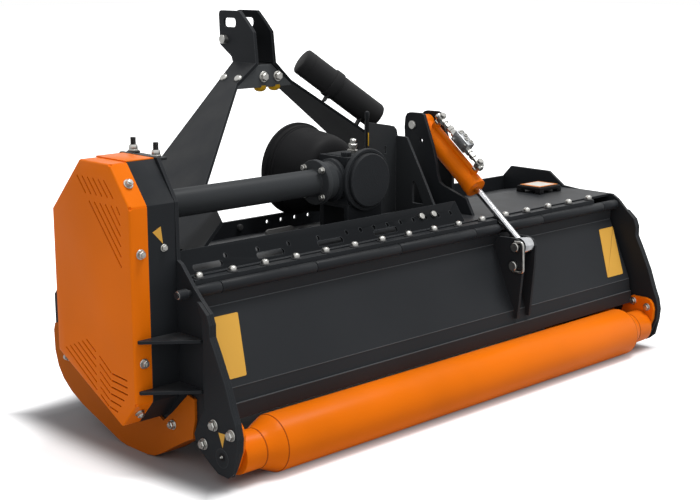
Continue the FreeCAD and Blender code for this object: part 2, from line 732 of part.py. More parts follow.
settle(group("hammer_group", hammers), "rotor_hammers")

# Flanged bearing housings on the outside of the side plates
bearings = []
for side, start in (("left", -outer_face - bearing_long), ("right", outer_face)):
    housing = rod(f"bearing_{side}_blank", "X", start, rotor_y, rotor_z, bearing_long, bearing_r)
    hole = rod(f"bearing_{side}_hole", "X", start - 1, rotor_y, rotor_z, bearing_long + 2,
               shaft_r + shaft_gap)
    bearings.append(cut(f"bearing_{side}", housing, hole))
settle(group("rotor_bearing_group", bearings), "rotor_bearings")

# ------------------------------------------------------------------ roller

stub_end = outer_face + bracket_sheet
half_barrel = roller_half
neck_end = inner_half - bearing_plate - 4
roller_section = [
    (-stub_end, 0), (-stub_end, roller_stub_r), (-neck_end, roller_stub_r), (-neck_end, roller_neck_r),
    (-half_barrel - roller_cone, roller_neck_r), (-half_barrel, roller_r), (half_barrel, roller_r),
    (half_barrel + roller_cone, roller_neck_r), (neck_end, roller_neck_r), (neck_end, roller_stub_r),
    (stub_end, roller_stub_r), (stub_end, 0),
]
roller = turned("roller_drum", roller_section, "X")
roller.Label = "roller_drum"
subparts.append(roller)
place(roller, as_size(0) - mid_x, roller_y - mid_y, roller_r)

# Arms bolted outside the side plates, and bearing plates on the inside
arm_outline = [
    (-46, 422), (-53, 421), (-82, 397), (-91, 374), (-91, 346), (-113, 305), (-142, 246), (-164, 187),
    (-176, 160), (-183, 127), (-180, 94), (-168, 44), *reversed(rear_foot), (-29, 87),
    (-25, 104), (-36, 124), (-66, 172), (-63, 220), (-66, 320), (-62, 386),
]
bearing_outline = [(roller_y + y, roller_r + z) for y, z in (
    (61, -10), (69, 8), (68, 38), (58, 68), (44, 84), (30, 90), (-18, 90), (-33, 86), (-42, 76), (-48, 58),
    (-46, 28), (-28, -18), (-17, -34), (15, -34), (47, -16),
)]
for side, arm_start, plate_start in (
        ("left", -outer_face - bracket_sheet, -inner_half),
        ("right", outer_face, inner_half - bearing_plate)):
    settle(sheet_across(f"roller_arm_{side}", arm_start, bracket_sheet, arm_outline, [axle_hole]),
           f"roller_arm_{side}")
    settle(sheet_across(f"roller_bearing_{side}", plate_start, bearing_plate, bearing_outline, [axle_hole]),
           f"roller_bearing_{side}")

# ------------------------------------------------------------------ gearbox and drive line

box_foot = block("gearbox_foot", pto_x - box_half, drive_y - box_deep, deck_z,
                 box_half * 2, box_deep * 2, drive_z - deck_z - box_high)
box_blank = fuse("gearbox_blank", [
    block("gearbox_case", pto_x - box_half, drive_y - box_deep, drive_z - box_high,
          box_half * 2, box_deep * 2, box_high * 2),
    rod("gearbox_nose", "Y", pto_x, drive_y + box_deep - 1, drive_z, nose_long + 1, nose_r),
])
pto_bore = rod("gearbox_pto_bore", "Y", pto_x, drive_y + box_deep - 40, drive_z, nose_long + 41,
               pto_root_r + pto_gap)
settle(cut("gearbox_solid", box_blank, pto_bore), "gearbox_housing")
settle(cut("gearbox_stand_solid", box_foot, block(
    "gearbox_stand_hollow", pto_x - box_half - 1, drive_y - box_deep + 14, deck_z - 1,
    box_half * 2 + 2, box_deep * 2 - 28, drive_z - deck_z - box_high - 8)), "gearbox_stand")

cap = turned("gearbox_cap", [
    (0, 0), (cap_r, 0), (cap_r, -(cap_long * 0.45)), (cap_step_r, -(cap_long * 0.6)),
    (cap_step_r, -cap_long), (0, -cap_long),
], "Y")
cap.Label = "gearbox_cap"
subparts.append(cap)
place(cap, pto_x - mid_x, drive_y - box_deep - mid_y, drive_z)

tube_end = pto_x - box_half
flange_off = size("drive_flange_offset", 57)
settle(fuse("drive_tube_solid", [
    rod("drive_tube_bar", "X", -outer_face, drive_y, drive_z, tube_end + outer_face, tube_r),
    rod("drive_tube_flange", "X", tube_end - flange_thick - flange_off, drive_y, drive_z, flange_thick,
        flange_r),
    rod("drive_tube_collar", "X", tube_end - flange_off - 1, drive_y, drive_z, flange_off + 1, flange_r - 10),
]), "drive_tube")

pto_root = nose_long + 38
pto = turned("pto_shaft", [
    (0, -pto_root), (pto_root_r, -pto_root), (pto_root_r, pto_shoulder), (pto_r, pto_shoulder),
    (pto_r, pto_shoulder + pto_long), (0, pto_shoulder + pto_long),
], "Y")
pto.Label = "pto_shaft"
subparts.append(pto)
place(pto, pto_x - mid_x, drive_y + box_deep + nose_long - mid_y, drive_z)

guard_start = drive_y + box_deep + nose_long * 0.25
guard = turned("pto_guard", [
    (nose_r, 0), (guard_back_r, 0), (guard_mouth_r - 20, guard_long - guard_band),
    (guard_mouth_r, guard_long - guard_band), (guard_mouth_r, guard_long),
    (guard_mouth_r - guard_wall, guard_long), (guard_mouth_r - guard_wall, guard_long - guard_band + 4),
    (guard_mouth_r - 20 - guard_wall, guard_long - guard_band + 4),
    (guard_back_r - guard_wall + 2, guard_wall), (nose_r, guard_wall),
], "Y")
guard.Label = "pto_guard"
subparts.append(guard)
place(guard, pto_x - mid_x, guard_start - mid_y, drive_z)

# ------------------------------------------------------------------ A-frame tower

tower_outline = [
    (tower_front, tower_top_z - 10), (tower_front - 3, tower_top_z - 3), (tower_front - 10, tower_top_z),
    (tower_rear + 72, tower_top_z), (tower_rear + 38, tower_top_z - 30),
    (tower_rear + 10, tower_top_z - 58), (tower_rear, tower_bend_z), (tower_rear + 104, tower_bend_z),
    (tower_rear + 110, tower_bend_z + 15), (tower_front - 4, tower_bend_z + 47),
]
slot_front = slot_back + slot_long
slot_top = slot_low + slot_high
tower_slot = [
    (slot_back + 8, slot_low), (slot_front - 8, slot_low), (slot_front - 2.5, slot_low + 2.5),
    (slot_front, slot_low + 8), (slot_front, slot_top - 8), (slot_front - 2.5, slot_top - 2.5),
    (slot_front - 8, slot_top), (slot_back + 8, slot_top), (slot_back + 2.5, slot_top - 2.5),
    (slot_back, slot_top - 8), (slot_back, slot_low + 8), (slot_back + 2.5, slot_low + 2.5),
]
tower_pin_hole = (link_pin_y, link_pin_z, link_pin_r + seat)
bend_lap = along(tower_sheet, leg_lean * 0.5)


def down_leg(z):
    """How far a height lies down the leg's sheet from its bend, as a negative length."""
    return along(tower_sheet, leg_lean) - over_cosine(tower_bend_z - z, leg_lean)


leg_front = [
    (tower_rear, bend_lap), (tower_rear + 104, bend_lap), (leg_front_foot, down_leg(beam_top_z)),
    (beam_rear - 1, down_leg(beam_top_z)), (beam_rear - 1, down_leg(beam_low_z + 0.3)),
    (deck_fold, down_leg(deck_z)),
]
leg_back = [(tower_rear + 9, down_leg(as_size(831)))]
left_leg = leg_front + [
    (172, down_leg(deck_z)), (184, down_leg(as_size(535))), (224, down_leg(as_size(551))),
    (344, down_leg(as_size(598))),
] + leg_back
right_leg = leg_front + [
    (304, down_leg(as_size(512))), (332, down_leg(as_size(530))), (358, down_leg(as_size(598))),
] + leg_back


def tower_side(side, plate_start, bend_x, leg_start, outward, outline):
    """One side of the tower: an upright cheek and the leg that is bent out from it."""
    upright = sheet_across(f"tower_cheek_{side}", plate_start, tower_sheet, tower_outline,
                           [tower_pin_hole], [tower_slot])
    leg = sheet_across(f"tower_leg_{side}", leg_start, tower_sheet, outline)
    leg.Placement = FreeCAD.Placement(
        FreeCAD.Vector(), FreeCAD.Rotation(FreeCAD.Vector(0, outward, 0), leg_lean.value))
    bind(leg, "Placement.Rotation.Angle", leg_lean)
    place(leg, bend_x, 0, tower_bend_z)
    return settle(fuse(f"tower_{side}_solid", [upright, leg]), f"tower_{side}")


tower_side("left", pto_x - tower_half, pto_x - tower_half, 0, 1, left_leg)
tower_side("right", pto_x + tower_half - tower_sheet, pto_x + tower_half, -tower_sheet, -1, right_leg)

settle(group("top_link_pin_group", [
    rod("top_link_pin_bar", "X", pto_x - tower_half - 14, link_pin_y, link_pin_z,
        (tower_half + 14) * 2, link_pin_r),
]), "top_link_pin")

leg_level = over_cosine(tower_sheet, leg_lean)
gusset_drop = tower_bend_z - gusset_low_z
gusset_top = size("gusset_top_drop", 6)
gusset_outline = [
    (pto_x - tower_half - along(gusset_top, leg_lean) + leg_level, tower_bend_z - gusset_top),
    (pto_x + tower_half + along(gusset_top, leg_lean) - leg_level, tower_bend_z - gusset_top),
    (pto_x + tower_half + along(gusset_drop, leg_lean) - leg_level, gusset_low_z),
    (pto_x - tower_half - along(gusset_drop, leg_lean) + leg_level, gusset_low_z),
]
settle(sheet_facing("tower_gusset", tower_rear + 8, gusset_sheet, gusset_outline), "tower_gusset")

# ------------------------------------------------------------------ lower link ears and pins

half_span = link_span * 0.5
upright = as_size(90) - leg_lean
ear_top = tower_bend_z - along(half_span - tower_half, upright) - over_cosine(tower_sheet, upright)
ear_gap = size("link_ear_gap", 0.3)
ear_outline = [
    (566, 330), (566, 262), (lower_pin_y - 20, lower_pin_z - 50), (lower_pin_y + 42, lower_pin_z - 30),
    (lower_pin_y + 42, lower_pin_z + 36), (lower_pin_y - 30, lower_pin_z + 74), (560, ear_top - ear_gap),
    (400, ear_top - ear_gap), (330, on_slope(330)), (beam_rear, beam_low_z), (beam_rear, beam_top_z),
    (housing_front, beam_top_z), (housing_front, beam_low_z), (housing_front + wall, beam_low_z),
]
for side, ear_start, pin_start, head_start in (
        ("left", pto_x - half_span, pto_x - half_span - lower_pin_long,
         pto_x - half_span + ear_sheet),
        ("right", pto_x + half_span - ear_sheet, pto_x + half_span,
         pto_x + half_span - ear_sheet - lower_head)):
    settle(sheet_across(f"link_ear_{side}", ear_start, ear_sheet, ear_outline,
                        [(lower_pin_y, lower_pin_z, lower_root_r + seat)]), f"link_ear_{side}")
    settle(fuse(f"link_pin_{side}_solid", [
        rod(f"link_pin_{side}_bar", "X", pin_start, lower_pin_y, lower_pin_z, lower_pin_long, lower_pin_r),
        rod(f"link_pin_{side}_root", "X", ear_start, lower_pin_y, lower_pin_z, ear_sheet, lower_root_r),
        rod(f"link_pin_{side}_head", "X", head_start, lower_pin_y, lower_pin_z, lower_head, lower_head_r),
    ]), f"link_pin_{side}")

# ------------------------------------------------------------------ belt drive

belt_outline = [
    (belt_top_rear, belt_top), (belt_top_front, belt_top), (belt_front, belt_front_high),
    (belt_front, belt_front_low), (belt_foot_y, belt_foot_z), (belt_rear, belt_rear_low),
    (belt_rear, belt_shoulder_z),
]


def inset(points, by):
    """The same outline drawn in by a wall, towards its own middle."""
    rows = [(as_size(a), as_size(b)) for a, b in points]
    middle_a = sum(a.value for a, b in rows) / len(rows)
    middle_b = sum(b.value for a, b in rows) / len(rows)
    moved = []
    for a, b in rows:
        toward_a = 1 if a.value < middle_a else -1
        toward_b = 1 if b.value < middle_b else -1
        moved.append((a + by * toward_a, b + by * toward_b))
    return moved


cover = new_body("belt_cover")
cover_face = sketch_on(cover, "YZ_Plane", "cover_face", -cover_out)
draw_outline(cover_face, belt_outline)
pad(cover, cover_face, cover_sheet, "face")
cover_wall = sketch_on(cover, "YZ_Plane", "cover_wall", -cover_out)
draw_outline(cover_wall, belt_outline)
draw_outline(cover_wall, inset(belt_outline, cover_sheet))
pad(cover, cover_wall, cover_rim, "rim")
settle(cover, "belt_cover")

settle(sheet_across("belt_box", -cover_out + cover_rim, cover_out - cover_rim - outer_face,
                    belt_outline, (), [inset(belt_outline, belt_sheet)]), "belt_box")

web_rear = size("belt_web_rear_y", -55)
web_sheet = size("belt_web_sheet", 8)
webs = [
    sheet_level(f"belt_web_{level}", height, web_sheet, [
        (-outer_face, belt_rear), (-outer_face, web_rear), (-outer_face - 8, web_rear),
        (-cover_out + 10, belt_rear - 6), (-cover_out + 10, belt_rear),
    ])
    for level, height in (("upper", size("belt_web_upper_z", 326)),
                          ("lower", size("belt_web_lower_z", 206)))
]
settle(group("belt_web_group", webs), "belt_webs")

# ------------------------------------------------------------------ skids

# A bent sole under each side plate, welded to a flange that is bolted outside the plate
skid_flange = size("skid_flange_sheet", 8)
flange_rim = skid_line[:-1] + [
    (-17, 88), (-19, 106), (-26, 134), (-26, 186), (-1, 191), (60, 134), (97, 104), (362, 236),
    (374, 256), (561, 256),
]
for side, start, flange_start in (("left", -outer_face, -outer_face - skid_flange),
                                  ("right", outer_face - skid_wide, outer_face)):
    sole = sheet_across(f"skid_sole_{side}", start, skid_wide, skid_line + belly[::-1])
    flank = sheet_across(f"skid_flange_{side}", flange_start, skid_flange, flange_rim)
    settle(fuse(f"skid_{side}_solid", [sole, flank]), f"skid_{side}")

# ------------------------------------------------------------------ small fittings

tube_case = size("document_tube_radius", 40)
tube_case_long = size("document_tube_length", 296)
clip_high = size("document_tube_clip_height", 23)
case_down = size("document_tube_offset", 80)
clip_wide = size("document_tube_clip_width", 30)
case_turn = FreeCAD.Rotation(FreeCAD.Vector(0, -1, 0), leg_lean.value).multiply(
    FreeCAD.Rotation(FreeCAD.Vector(-1, 0, 0), leg_rear_lean.value))


def along_leg(obj, down, out):
    """Turn a piece made pointing down the leg's rear edge, and put it outside the right leg."""
    foot = case_turn.multVec(FreeCAD.Vector(out.value, 0, -down.value))
    obj.Placement = FreeCAD.Placement(
        FreeCAD.Vector(), case_turn.multiply(FreeCAD.Rotation(FreeCAD.Vector(1, 0, 0), 180)))
    return place(obj, pto_x + tower_half + foot.x, tower_rear + 30 + foot.y, tower_bend_z + foot.z)


case_out = clip_high + tube_case
case_parts = [
    along_leg(rod("document_tube_can", "Z", 0, 0, 0, tube_case_long, tube_case), case_down, case_out),
    along_leg(rod("document_tube_collar", "Z", 0, 0, 0, 26, tube_case + 4), case_down + 120,
              case_out),
]
for clip_name, clip_down in (("upper", case_down + 40), ("lower", case_down + 250)):
    clip = doc.addObject("Part::Box", f"document_tube_clip_{clip_name}")
    bind(clip, "Length", clip_high + 6)
    bind(clip, "Width", clip_wide)
    bind(clip, "Height", clip_wide)
    case_parts.append(along_leg(clip, clip_down, as_size(0)))
settle(fuse("document_tube_solid", case_parts), "document_tube")

module = block("control_module_case", 0, 0, 0, 110, 96, 22)
module.Label = "control_module"
subparts.append(module)
place(module, as_size(647) - mid_x, as_size(146) - mid_y, deck_z)

# ------------------------------------------------------------------ check and write

doc.recompute()
for item in doc.Objects:
    if "Invalid" in item.State or "Error" in item.State:
        raise RuntimeError(f"{item.Name} did not build: {item.State}")
for item in subparts:
    if item.Shape.isNull() or not item.Shape.isValid():
        raise RuntimeError(f"{item.Label} has no valid shape")

os.makedirs("parts", exist_ok=True)
for item in subparts:
    item.Shape.exportStep(f"parts/{item.Label}.step")
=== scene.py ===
import bmesh
import bpy
import json
from math import atan2, cos, pi, radians, sin
from mathutils import Matrix, Vector

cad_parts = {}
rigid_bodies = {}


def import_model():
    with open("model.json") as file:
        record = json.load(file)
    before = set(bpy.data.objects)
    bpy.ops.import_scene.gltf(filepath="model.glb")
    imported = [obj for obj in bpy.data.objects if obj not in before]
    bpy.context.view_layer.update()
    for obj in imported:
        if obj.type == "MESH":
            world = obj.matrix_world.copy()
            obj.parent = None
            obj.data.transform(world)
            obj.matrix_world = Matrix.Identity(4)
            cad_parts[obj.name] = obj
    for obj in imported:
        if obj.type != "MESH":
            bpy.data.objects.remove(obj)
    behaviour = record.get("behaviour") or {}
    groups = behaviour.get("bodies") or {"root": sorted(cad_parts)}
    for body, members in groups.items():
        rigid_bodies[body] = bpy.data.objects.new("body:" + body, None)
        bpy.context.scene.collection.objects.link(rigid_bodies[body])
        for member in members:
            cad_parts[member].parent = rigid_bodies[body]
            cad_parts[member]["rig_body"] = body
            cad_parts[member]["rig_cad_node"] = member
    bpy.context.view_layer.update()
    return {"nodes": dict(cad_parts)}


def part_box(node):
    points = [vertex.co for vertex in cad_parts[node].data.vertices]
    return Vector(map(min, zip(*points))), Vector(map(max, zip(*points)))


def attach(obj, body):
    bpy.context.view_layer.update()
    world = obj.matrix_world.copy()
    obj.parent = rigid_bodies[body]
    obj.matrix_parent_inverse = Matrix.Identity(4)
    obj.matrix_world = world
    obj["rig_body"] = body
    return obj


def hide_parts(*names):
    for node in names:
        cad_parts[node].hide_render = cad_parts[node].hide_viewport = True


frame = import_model()
nodes = frame["nodes"]

# ---------------------------------------------------------------- studio
# A pale floor in soft daylight that falls from behind the machine's right shoulder. The
# camera stands low off the left rear corner, where the belt drive and the hood both show.
scene = bpy.context.scene
scene.view_settings.view_transform = "Standard"
bpy.ops.object.select_all(action="DESELECT")
bpy.ops.object.camera_add(location=(-2.6146, -2.6629, 1.1736),
                          rotation=(radians(77.91), 0, radians(-44.12)))
camera = bpy.context.object
camera.data.sensor_width = 36
camera.data.lens = 69.35
camera.data.shift_x = -0.0004
camera.data.shift_y = 0.0014
scene.camera = camera


def daylight(travel, strength, spread):
    """A soft sun whose light travels in one direction."""
    turn = Vector(travel).to_track_quat("-Z", "Y").to_euler()
    bpy.ops.object.light_add(type="SUN", rotation=turn)
    bpy.context.object.data.energy = strength
    bpy.context.object.data.angle = radians(spread)


daylight((-0.22, 0.20, -0.95), 1.95, 20)
daylight((0.62, 0.50, -0.60), 0.25, 60)


def feed(tree, socket, value):
    """Give a node's socket a fixed value, or the output of another node."""
    if isinstance(value, bpy.types.NodeSocket):
        tree.links.new(value, socket)
    else:
        socket.default_value = value


def maths(tree, operation, *terms):
    """The output of a maths node with these terms."""
    node = tree.nodes.new("ShaderNodeMath")
    node.operation = operation
    for socket, term in zip(node.inputs, terms):
        feed(tree, socket, term)
    return node.outputs[0]


def ranged(tree, value, start, end, low=0, high=1, kind="LINEAR"):
    """The output of a node that carries a value from one range into another."""
    node = tree.nodes.new("ShaderNodeMapRange")
    node.interpolation_type = kind
    feed(tree, node.inputs["Value"], value)
    for name, limit in (("From Min", start), ("From Max", end), ("To Min", low), ("To Max", high)):
        feed(tree, node.inputs[name], limit)
    return node.outputs["Result"]


def blend(tree, factor, first, second):
    """The output of a node that blends two colours."""
    node = tree.nodes.new("ShaderNodeMix")
    node.data_type = "RGBA"
    for name, value in (("Factor", factor), ("A", first), ("B", second)):
        feed(tree, node.inputs[name], value)
    return node.outputs["Result"]


# A dim cool sky lights the machine, and a clean white one is seen and mirrored
world = bpy.data.worlds.new("studio sky")
scene.world = world
world.use_nodes = True
sky = world.node_tree
sky.nodes.clear()
ray = sky.nodes.new("ShaderNodeLightPath").outputs
seen = maths(sky, "MAXIMUM", ray["Is Camera Ray"], ray["Is Transmission Ray"])
sky_mix = sky.nodes.new("ShaderNodeMixShader")
feed(sky, sky_mix.inputs[0], maths(sky, "MAXIMUM", seen, ray["Is Glossy Ray"]))
ambient, backdrop = ((0.96, 0.98, 1.0, 1), 0.43), ((1, 1, 1, 1), 1.0)
for socket, (colour, strength) in zip(sky_mix.inputs[1:], (ambient, backdrop)):
    light = sky.nodes.new("ShaderNodeBackground")
    feed(sky, light.inputs["Color"], colour)
    feed(sky, light.inputs["Strength"], strength)
    feed(sky, socket, light.outputs[0])
feed(sky, sky.nodes.new("ShaderNodeOutputWorld").inputs["Surface"], sky_mix.outputs[0])

# Beneath the machine the floor is darker and does not glow for the camera: a painted shadow.
# Within a few centimetres of its outline it fades to a clean white; the first name below
# holds half the painted shadow's patch, along X and along Y.
painted_shadow_half = {"X": 0.90, "Y": 0.43}
fade_start, fade_end = -0.07, 0.06
glow = 0.62
bpy.ops.mesh.primitive_plane_add(size=60, location=(0, 0, -0.0006))
floor = bpy.context.object
floor.name = "studio_floor"
pale = bpy.data.materials.new("pale floor")
pale.use_nodes = True
paper = pale.node_tree
by_camera = paper.nodes.new("ShaderNodeLightPath").outputs["Is Camera Ray"]
spot = paper.nodes.new("ShaderNodeSeparateXYZ")
feed(paper, spot.inputs["Vector"], paper.nodes.new("ShaderNodeTexCoord").outputs["Object"])
reaches = [maths(paper, "SUBTRACT", maths(paper, "ABSOLUTE", spot.outputs[axis]), half)
           for axis, half in painted_shadow_half.items()]
outside_painted_shadow = ranged(paper, maths(paper, "MAXIMUM", *reaches), fade_start, fade_end, kind="SMOOTHSTEP")
# The darker tone under the machine is a painted shadow
painted_shadow_tone = blend(paper, outside_painted_shadow, (0.42, 0.42, 0.43, 1), (1, 1, 1, 1))
lift = maths(paper, "MULTIPLY", maths(paper, "MULTIPLY", by_camera, glow), outside_painted_shadow)
for name, value in (("Roughness", 0.9), ("Specular IOR Level", 0.1), ("Emission Color", (1, 1, 1, 1)),
                    ("Emission Strength", lift),
                    ("Base Color", blend(paper, by_camera, (0.56, 0.56, 0.56, 1), painted_shadow_tone))):
    feed(paper, paper.nodes["Principled BSDF"].inputs[name], value)
floor.data.materials.append(pale)

# ---------------------------------------------------------------- rotor housing
# Laser-cut side plates, a folded deck and a leaning front wall, welded together and
# powder-coated in anthracite. Places are in millimetres from the mid-plane between the
# side plates, a line 10 mm ahead of the hood's hinge, and the floor.
left_plate, right_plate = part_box("side_plate_left"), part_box("side_plate_right")
hinge_rod_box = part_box("hinge_rod")
middle_x = (left_plate[0][0] + right_plate[1][0]) / 2
datum_to_hinge = 0.010
datum_y = (hinge_rod_box[0][1] + hinge_rod_box[1][1]) / 2 + datum_to_hinge


def at(x, y, z):
    """A place on the machine, from millimetres to metres."""
    return Vector((middle_x + x / 1000, datum_y + y / 1000, z / 1000))


def new_group(name, given, made):
    """A node group with its named inputs and outputs, of which Colour alone is a colour."""
    group = bpy.data.node_groups.new(name, "ShaderNodeTree")
    for way, sockets in (("INPUT", given), ("OUTPUT", made)):
        for socket in sockets:
            kind = "NodeSocketColor" if socket == "Colour" else "NodeSocketFloat"
            group.interface.new_socket(socket, in_out=way, socket_type=kind)
    return group, group.nodes.new("NodeGroupInput").outputs, group.nodes.new("NodeGroupOutput").inputs


def noise(tree, scale, detail):
    """The output of a cloudy noise that stays with the piece."""
    node = tree.nodes.new("ShaderNodeTexNoise")
    feed(tree, node.inputs["Scale"], scale)
    feed(tree, node.inputs["Detail"], detail)
    feed(tree, node.inputs["Vector"], tree.nodes.new("ShaderNodeTexCoord").outputs["Object"])
    return node.outputs["Fac"]


def uneven(tree, colour, brightness):
    """The output of a node that makes a colour brighter or darker."""
    node = tree.nodes.new("ShaderNodeHueSaturation")
    feed(tree, node.inputs["Color"], colour)
    feed(tree, node.inputs["Value"], brightness)
    return node.outputs["Color"]


def paint_skin_group():
    """Powder coat: a little unevenness of tone, fine orange peel, and dust where it faces up."""
    group, given, made = new_group("paint skin", ("Colour", "Roughness", "Dust"),
                                   ("Colour", "Roughness", "Height"))
    cloud = noise(group, 11, 6)
    tone = ranged(group, noise(group, 2.4, 3), 0.3, 0.7, 0.9, 1.1)
    normal = group.nodes.new("ShaderNodeSeparateXYZ")
    feed(group, normal.inputs["Vector"], group.nodes.new("ShaderNodeTexCoord").outputs["Normal"])
    settled = maths(group, "MULTIPLY", ranged(group, normal.outputs["Z"], 0.35, 1),
                    ranged(group, cloud, 0.38, 0.72))
    dust = maths(group, "MULTIPLY", settled, given["Dust"])
    coat = uneven(group, given["Colour"], tone)
    feed(group, made["Colour"], blend(group, dust, coat, (0.3, 0.29, 0.27, 1)))
    duller = maths(group, "MULTIPLY_ADD", dust, 0.5, given["Roughness"])
    feed(group, made["Roughness"], maths(group, "MULTIPLY_ADD", cloud, 0.14, duller))
    feed(group, made["Height"], noise(group, 380, 2))
    return group


def painted_edge_highlight_group():
    """A mask along the corners of a piece, for a painted highlight where a coat catches the light."""
    group, given, made = new_group("painted edge highlight", ("Width",), ("Mask",))
    rounded = group.nodes.new("ShaderNodeBevel")
    rounded.samples = 6
    feed(group, rounded.inputs["Radius"], given["Width"])
    agree = group.nodes.new("ShaderNodeVectorMath")
    agree.operation = "DOT_PRODUCT"
    feed(group, agree.inputs[0], rounded.outputs["Normal"])
    feed(group, agree.inputs[1], group.nodes.new("ShaderNodeNewGeometry").outputs["Normal"])
    feed(group, made["Mask"], ranged(group, agree.outputs["Value"], 0.995, 0.86))
    return group


paint_skin = paint_skin_group()
# A painted highlight along the corners of each coat that is given an edge colour
painted_edge_highlight = painted_edge_highlight_group()
edge_highlight_width, grain_depth = 0.0022, 0.0006


def coated(name, colour, roughness, dust, peel, skin, gloss=0.09, edge=None, metallic=0):
    """A finish whose colour, roughness and bumps come from one of the shared skins."""
    material = bpy.data.materials.new(name)
    material.use_nodes = True
    tree = material.node_tree
    surface = tree.nodes.new("ShaderNodeGroup")
    surface.node_tree = skin
    surface.inputs["Colour"].default_value = (*colour, 1)
    surface.inputs["Roughness"].default_value = roughness
    if "Dust" in surface.inputs:
        surface.inputs["Dust"].default_value = dust
    tone = surface.outputs["Colour"]
    # The edge colour is a painted highlight along the piece's corners
    if edge:
        highlit = tree.nodes.new("ShaderNodeGroup")
        highlit.node_tree = painted_edge_highlight
        highlit.inputs["Width"].default_value = edge_highlight_width
        tone = blend(tree, highlit.outputs["Mask"], tone, (*edge, 1))
    bump = tree.nodes.new("ShaderNodeBump")
    feed(tree, bump.inputs["Strength"], peel)
    feed(tree, bump.inputs["Distance"], grain_depth)
    feed(tree, bump.inputs["Height"], surface.outputs["Height"])
    for socket, value in (("Base Color", tone), ("Roughness", surface.outputs["Roughness"]),
                          ("Specular IOR Level", gloss), ("Metallic", metallic),
                          ("Normal", bump.outputs["Normal"])):
        feed(tree, tree.nodes["Principled BSDF"].inputs[socket], value)
    return material


def choose(piece):
    """Make a piece the one that is selected and worked on."""
    bpy.ops.object.select_all(action="DESELECT")
    piece.select_set(True)
    bpy.context.view_layer.objects.active = piece


crease, flat_enough = radians(32), radians(0.6)
weld_gap = 0.00002


def dress(material, ease, *names):
    """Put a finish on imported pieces, and take the knife edge off their corners."""
    for name in names:
        node = nodes[name]
        node.data.materials.clear()
        node.data.materials.append(material)
        choose(node)
        weld = node.modifiers.new("weld", "WELD")
        weld.merge_threshold = weld_gap
        plane = node.modifiers.new("plane", "DECIMATE")
        plane.decimate_type = "DISSOLVE"
        plane.angle_limit = flat_enough
        corner = node.modifiers.new("corner", "BEVEL")
        corner.width = ease / 1000
        corner.segments = 2
        corner.limit_method = "ANGLE"
        corner.angle_limit = crease
        corner.harden_normals = True


# Each coat's edge colour is a painted highlight along its corners
anthracite = coated("anthracite coat", (0.022, 0.024, 0.027), 0.34, 0.10, 0.10, paint_skin,
                    edge=(0.085, 0.09, 0.095))
# A darker copy of the coat paints shade onto parts in shadow; a lighter copy paints light onto lit parts
shade_coat = coated("anthracite coat with painted shade", (0.012, 0.0132, 0.0148), 0.40, 0.0, 0.10, paint_skin,
                    gloss=0.03, edge=(0.07, 0.074, 0.078))
lit_coat = coated("anthracite coat with painted light", (0.045, 0.048, 0.051), 0.36, 0.04, 0.10, paint_skin,
                  edge=(0.12, 0.125, 0.13))
dress(anthracite, 1.4, "side_plate_left", "side_plate_right", "deck_plate", "front_wall", "front_beam")
# The punched rail takes the darker copy: painted shade
dress(shade_coat, 1.4, "punched_rail")


def stepped_round(first_radius, steps, sides=28):
    """A turned part built up from a disc on the origin: each step rises, then takes its radius."""
    bpy.ops.object.select_all(action="DESELECT")
    bpy.ops.mesh.primitive_circle_add(vertices=sides, radius=first_radius / 1000, fill_type="NGON")
    part = bpy.context.object
    bpy.ops.object.mode_set(mode="EDIT")
    bpy.ops.mesh.select_all(action="SELECT")
    radius = first_radius
    for rise, next_radius in steps:
        bpy.ops.mesh.extrude_region_move(TRANSFORM_OT_translate={"value": (0, 0, rise / 1000)})
        bpy.ops.transform.resize(value=(next_radius / radius, next_radius / radius, 1))
        radius = next_radius
    bpy.ops.mesh.select_all(action="SELECT")
    bpy.ops.mesh.normals_make_consistent(inside=False)
    bpy.ops.object.mode_set(mode="OBJECT")
    return part


def join(parts):
    """Weld a few modelled parts into one mesh."""
    bpy.ops.object.select_all(action="DESELECT")
    for part in parts:
        part.select_set(True)
    bpy.context.view_layer.objects.active = parts[0]
    if len(parts) > 1:
        bpy.ops.object.join()
    return parts[0]


def hex_bolt(radius, head, washer_radius, washer, thread=0):
    """A hexagon head or nut on its washer, standing on the origin, perhaps with a thread end."""
    ring = stepped_round(washer_radius * 0.95, [
        (washer * 0.3, washer_radius), (washer * 0.4, washer_radius),
        (washer * 0.3, washer_radius * 0.93)], 24)
    six = stepped_round(radius * 0.94, [
        (head * 0.12, radius), (head * 0.68, radius), (head * 0.2, radius * 0.84)], 6)
    six.data.transform(Matrix.Translation((0, 0, washer * 0.9 / 1000)))
    parts = [ring, six]
    if thread:
        core = radius * 0.52
        end = stepped_round(core, [(thread * 0.9, core), (thread * 0.1, radius * 0.42)], 14)
        end.data.transform(Matrix.Translation((0, 0, (washer + head) / 1000)))
        parts.append(end)
    return join(parts)


def keep(piece, name, body, material):
    """Name a modelled piece, paint it and fix it to the body that carries it."""
    piece.name = piece.data.name = name
    piece.data.materials.clear()
    piece.data.materials.append(material)
    choose(piece)
    bpy.ops.object.shade_smooth_by_angle(angle=crease)
    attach(piece, body)
    return piece


models = []


def set_out(model, places):
    """Copies of one modelled part at each place, turned from +Z to the way it faces."""
    if model not in models:
        models.append(model)
    copies = []
    for point, facing in places:
        copy = model.copy()
        copy.data = model.data.copy()
        turn = Vector((0, 0, 1)).rotation_difference(Vector(facing)).to_matrix().to_4x4()
        copy.data.transform(Matrix.Translation(point) @ turn)
        scene.collection.objects.link(copy)
        copies.append(copy)
    return join(copies)


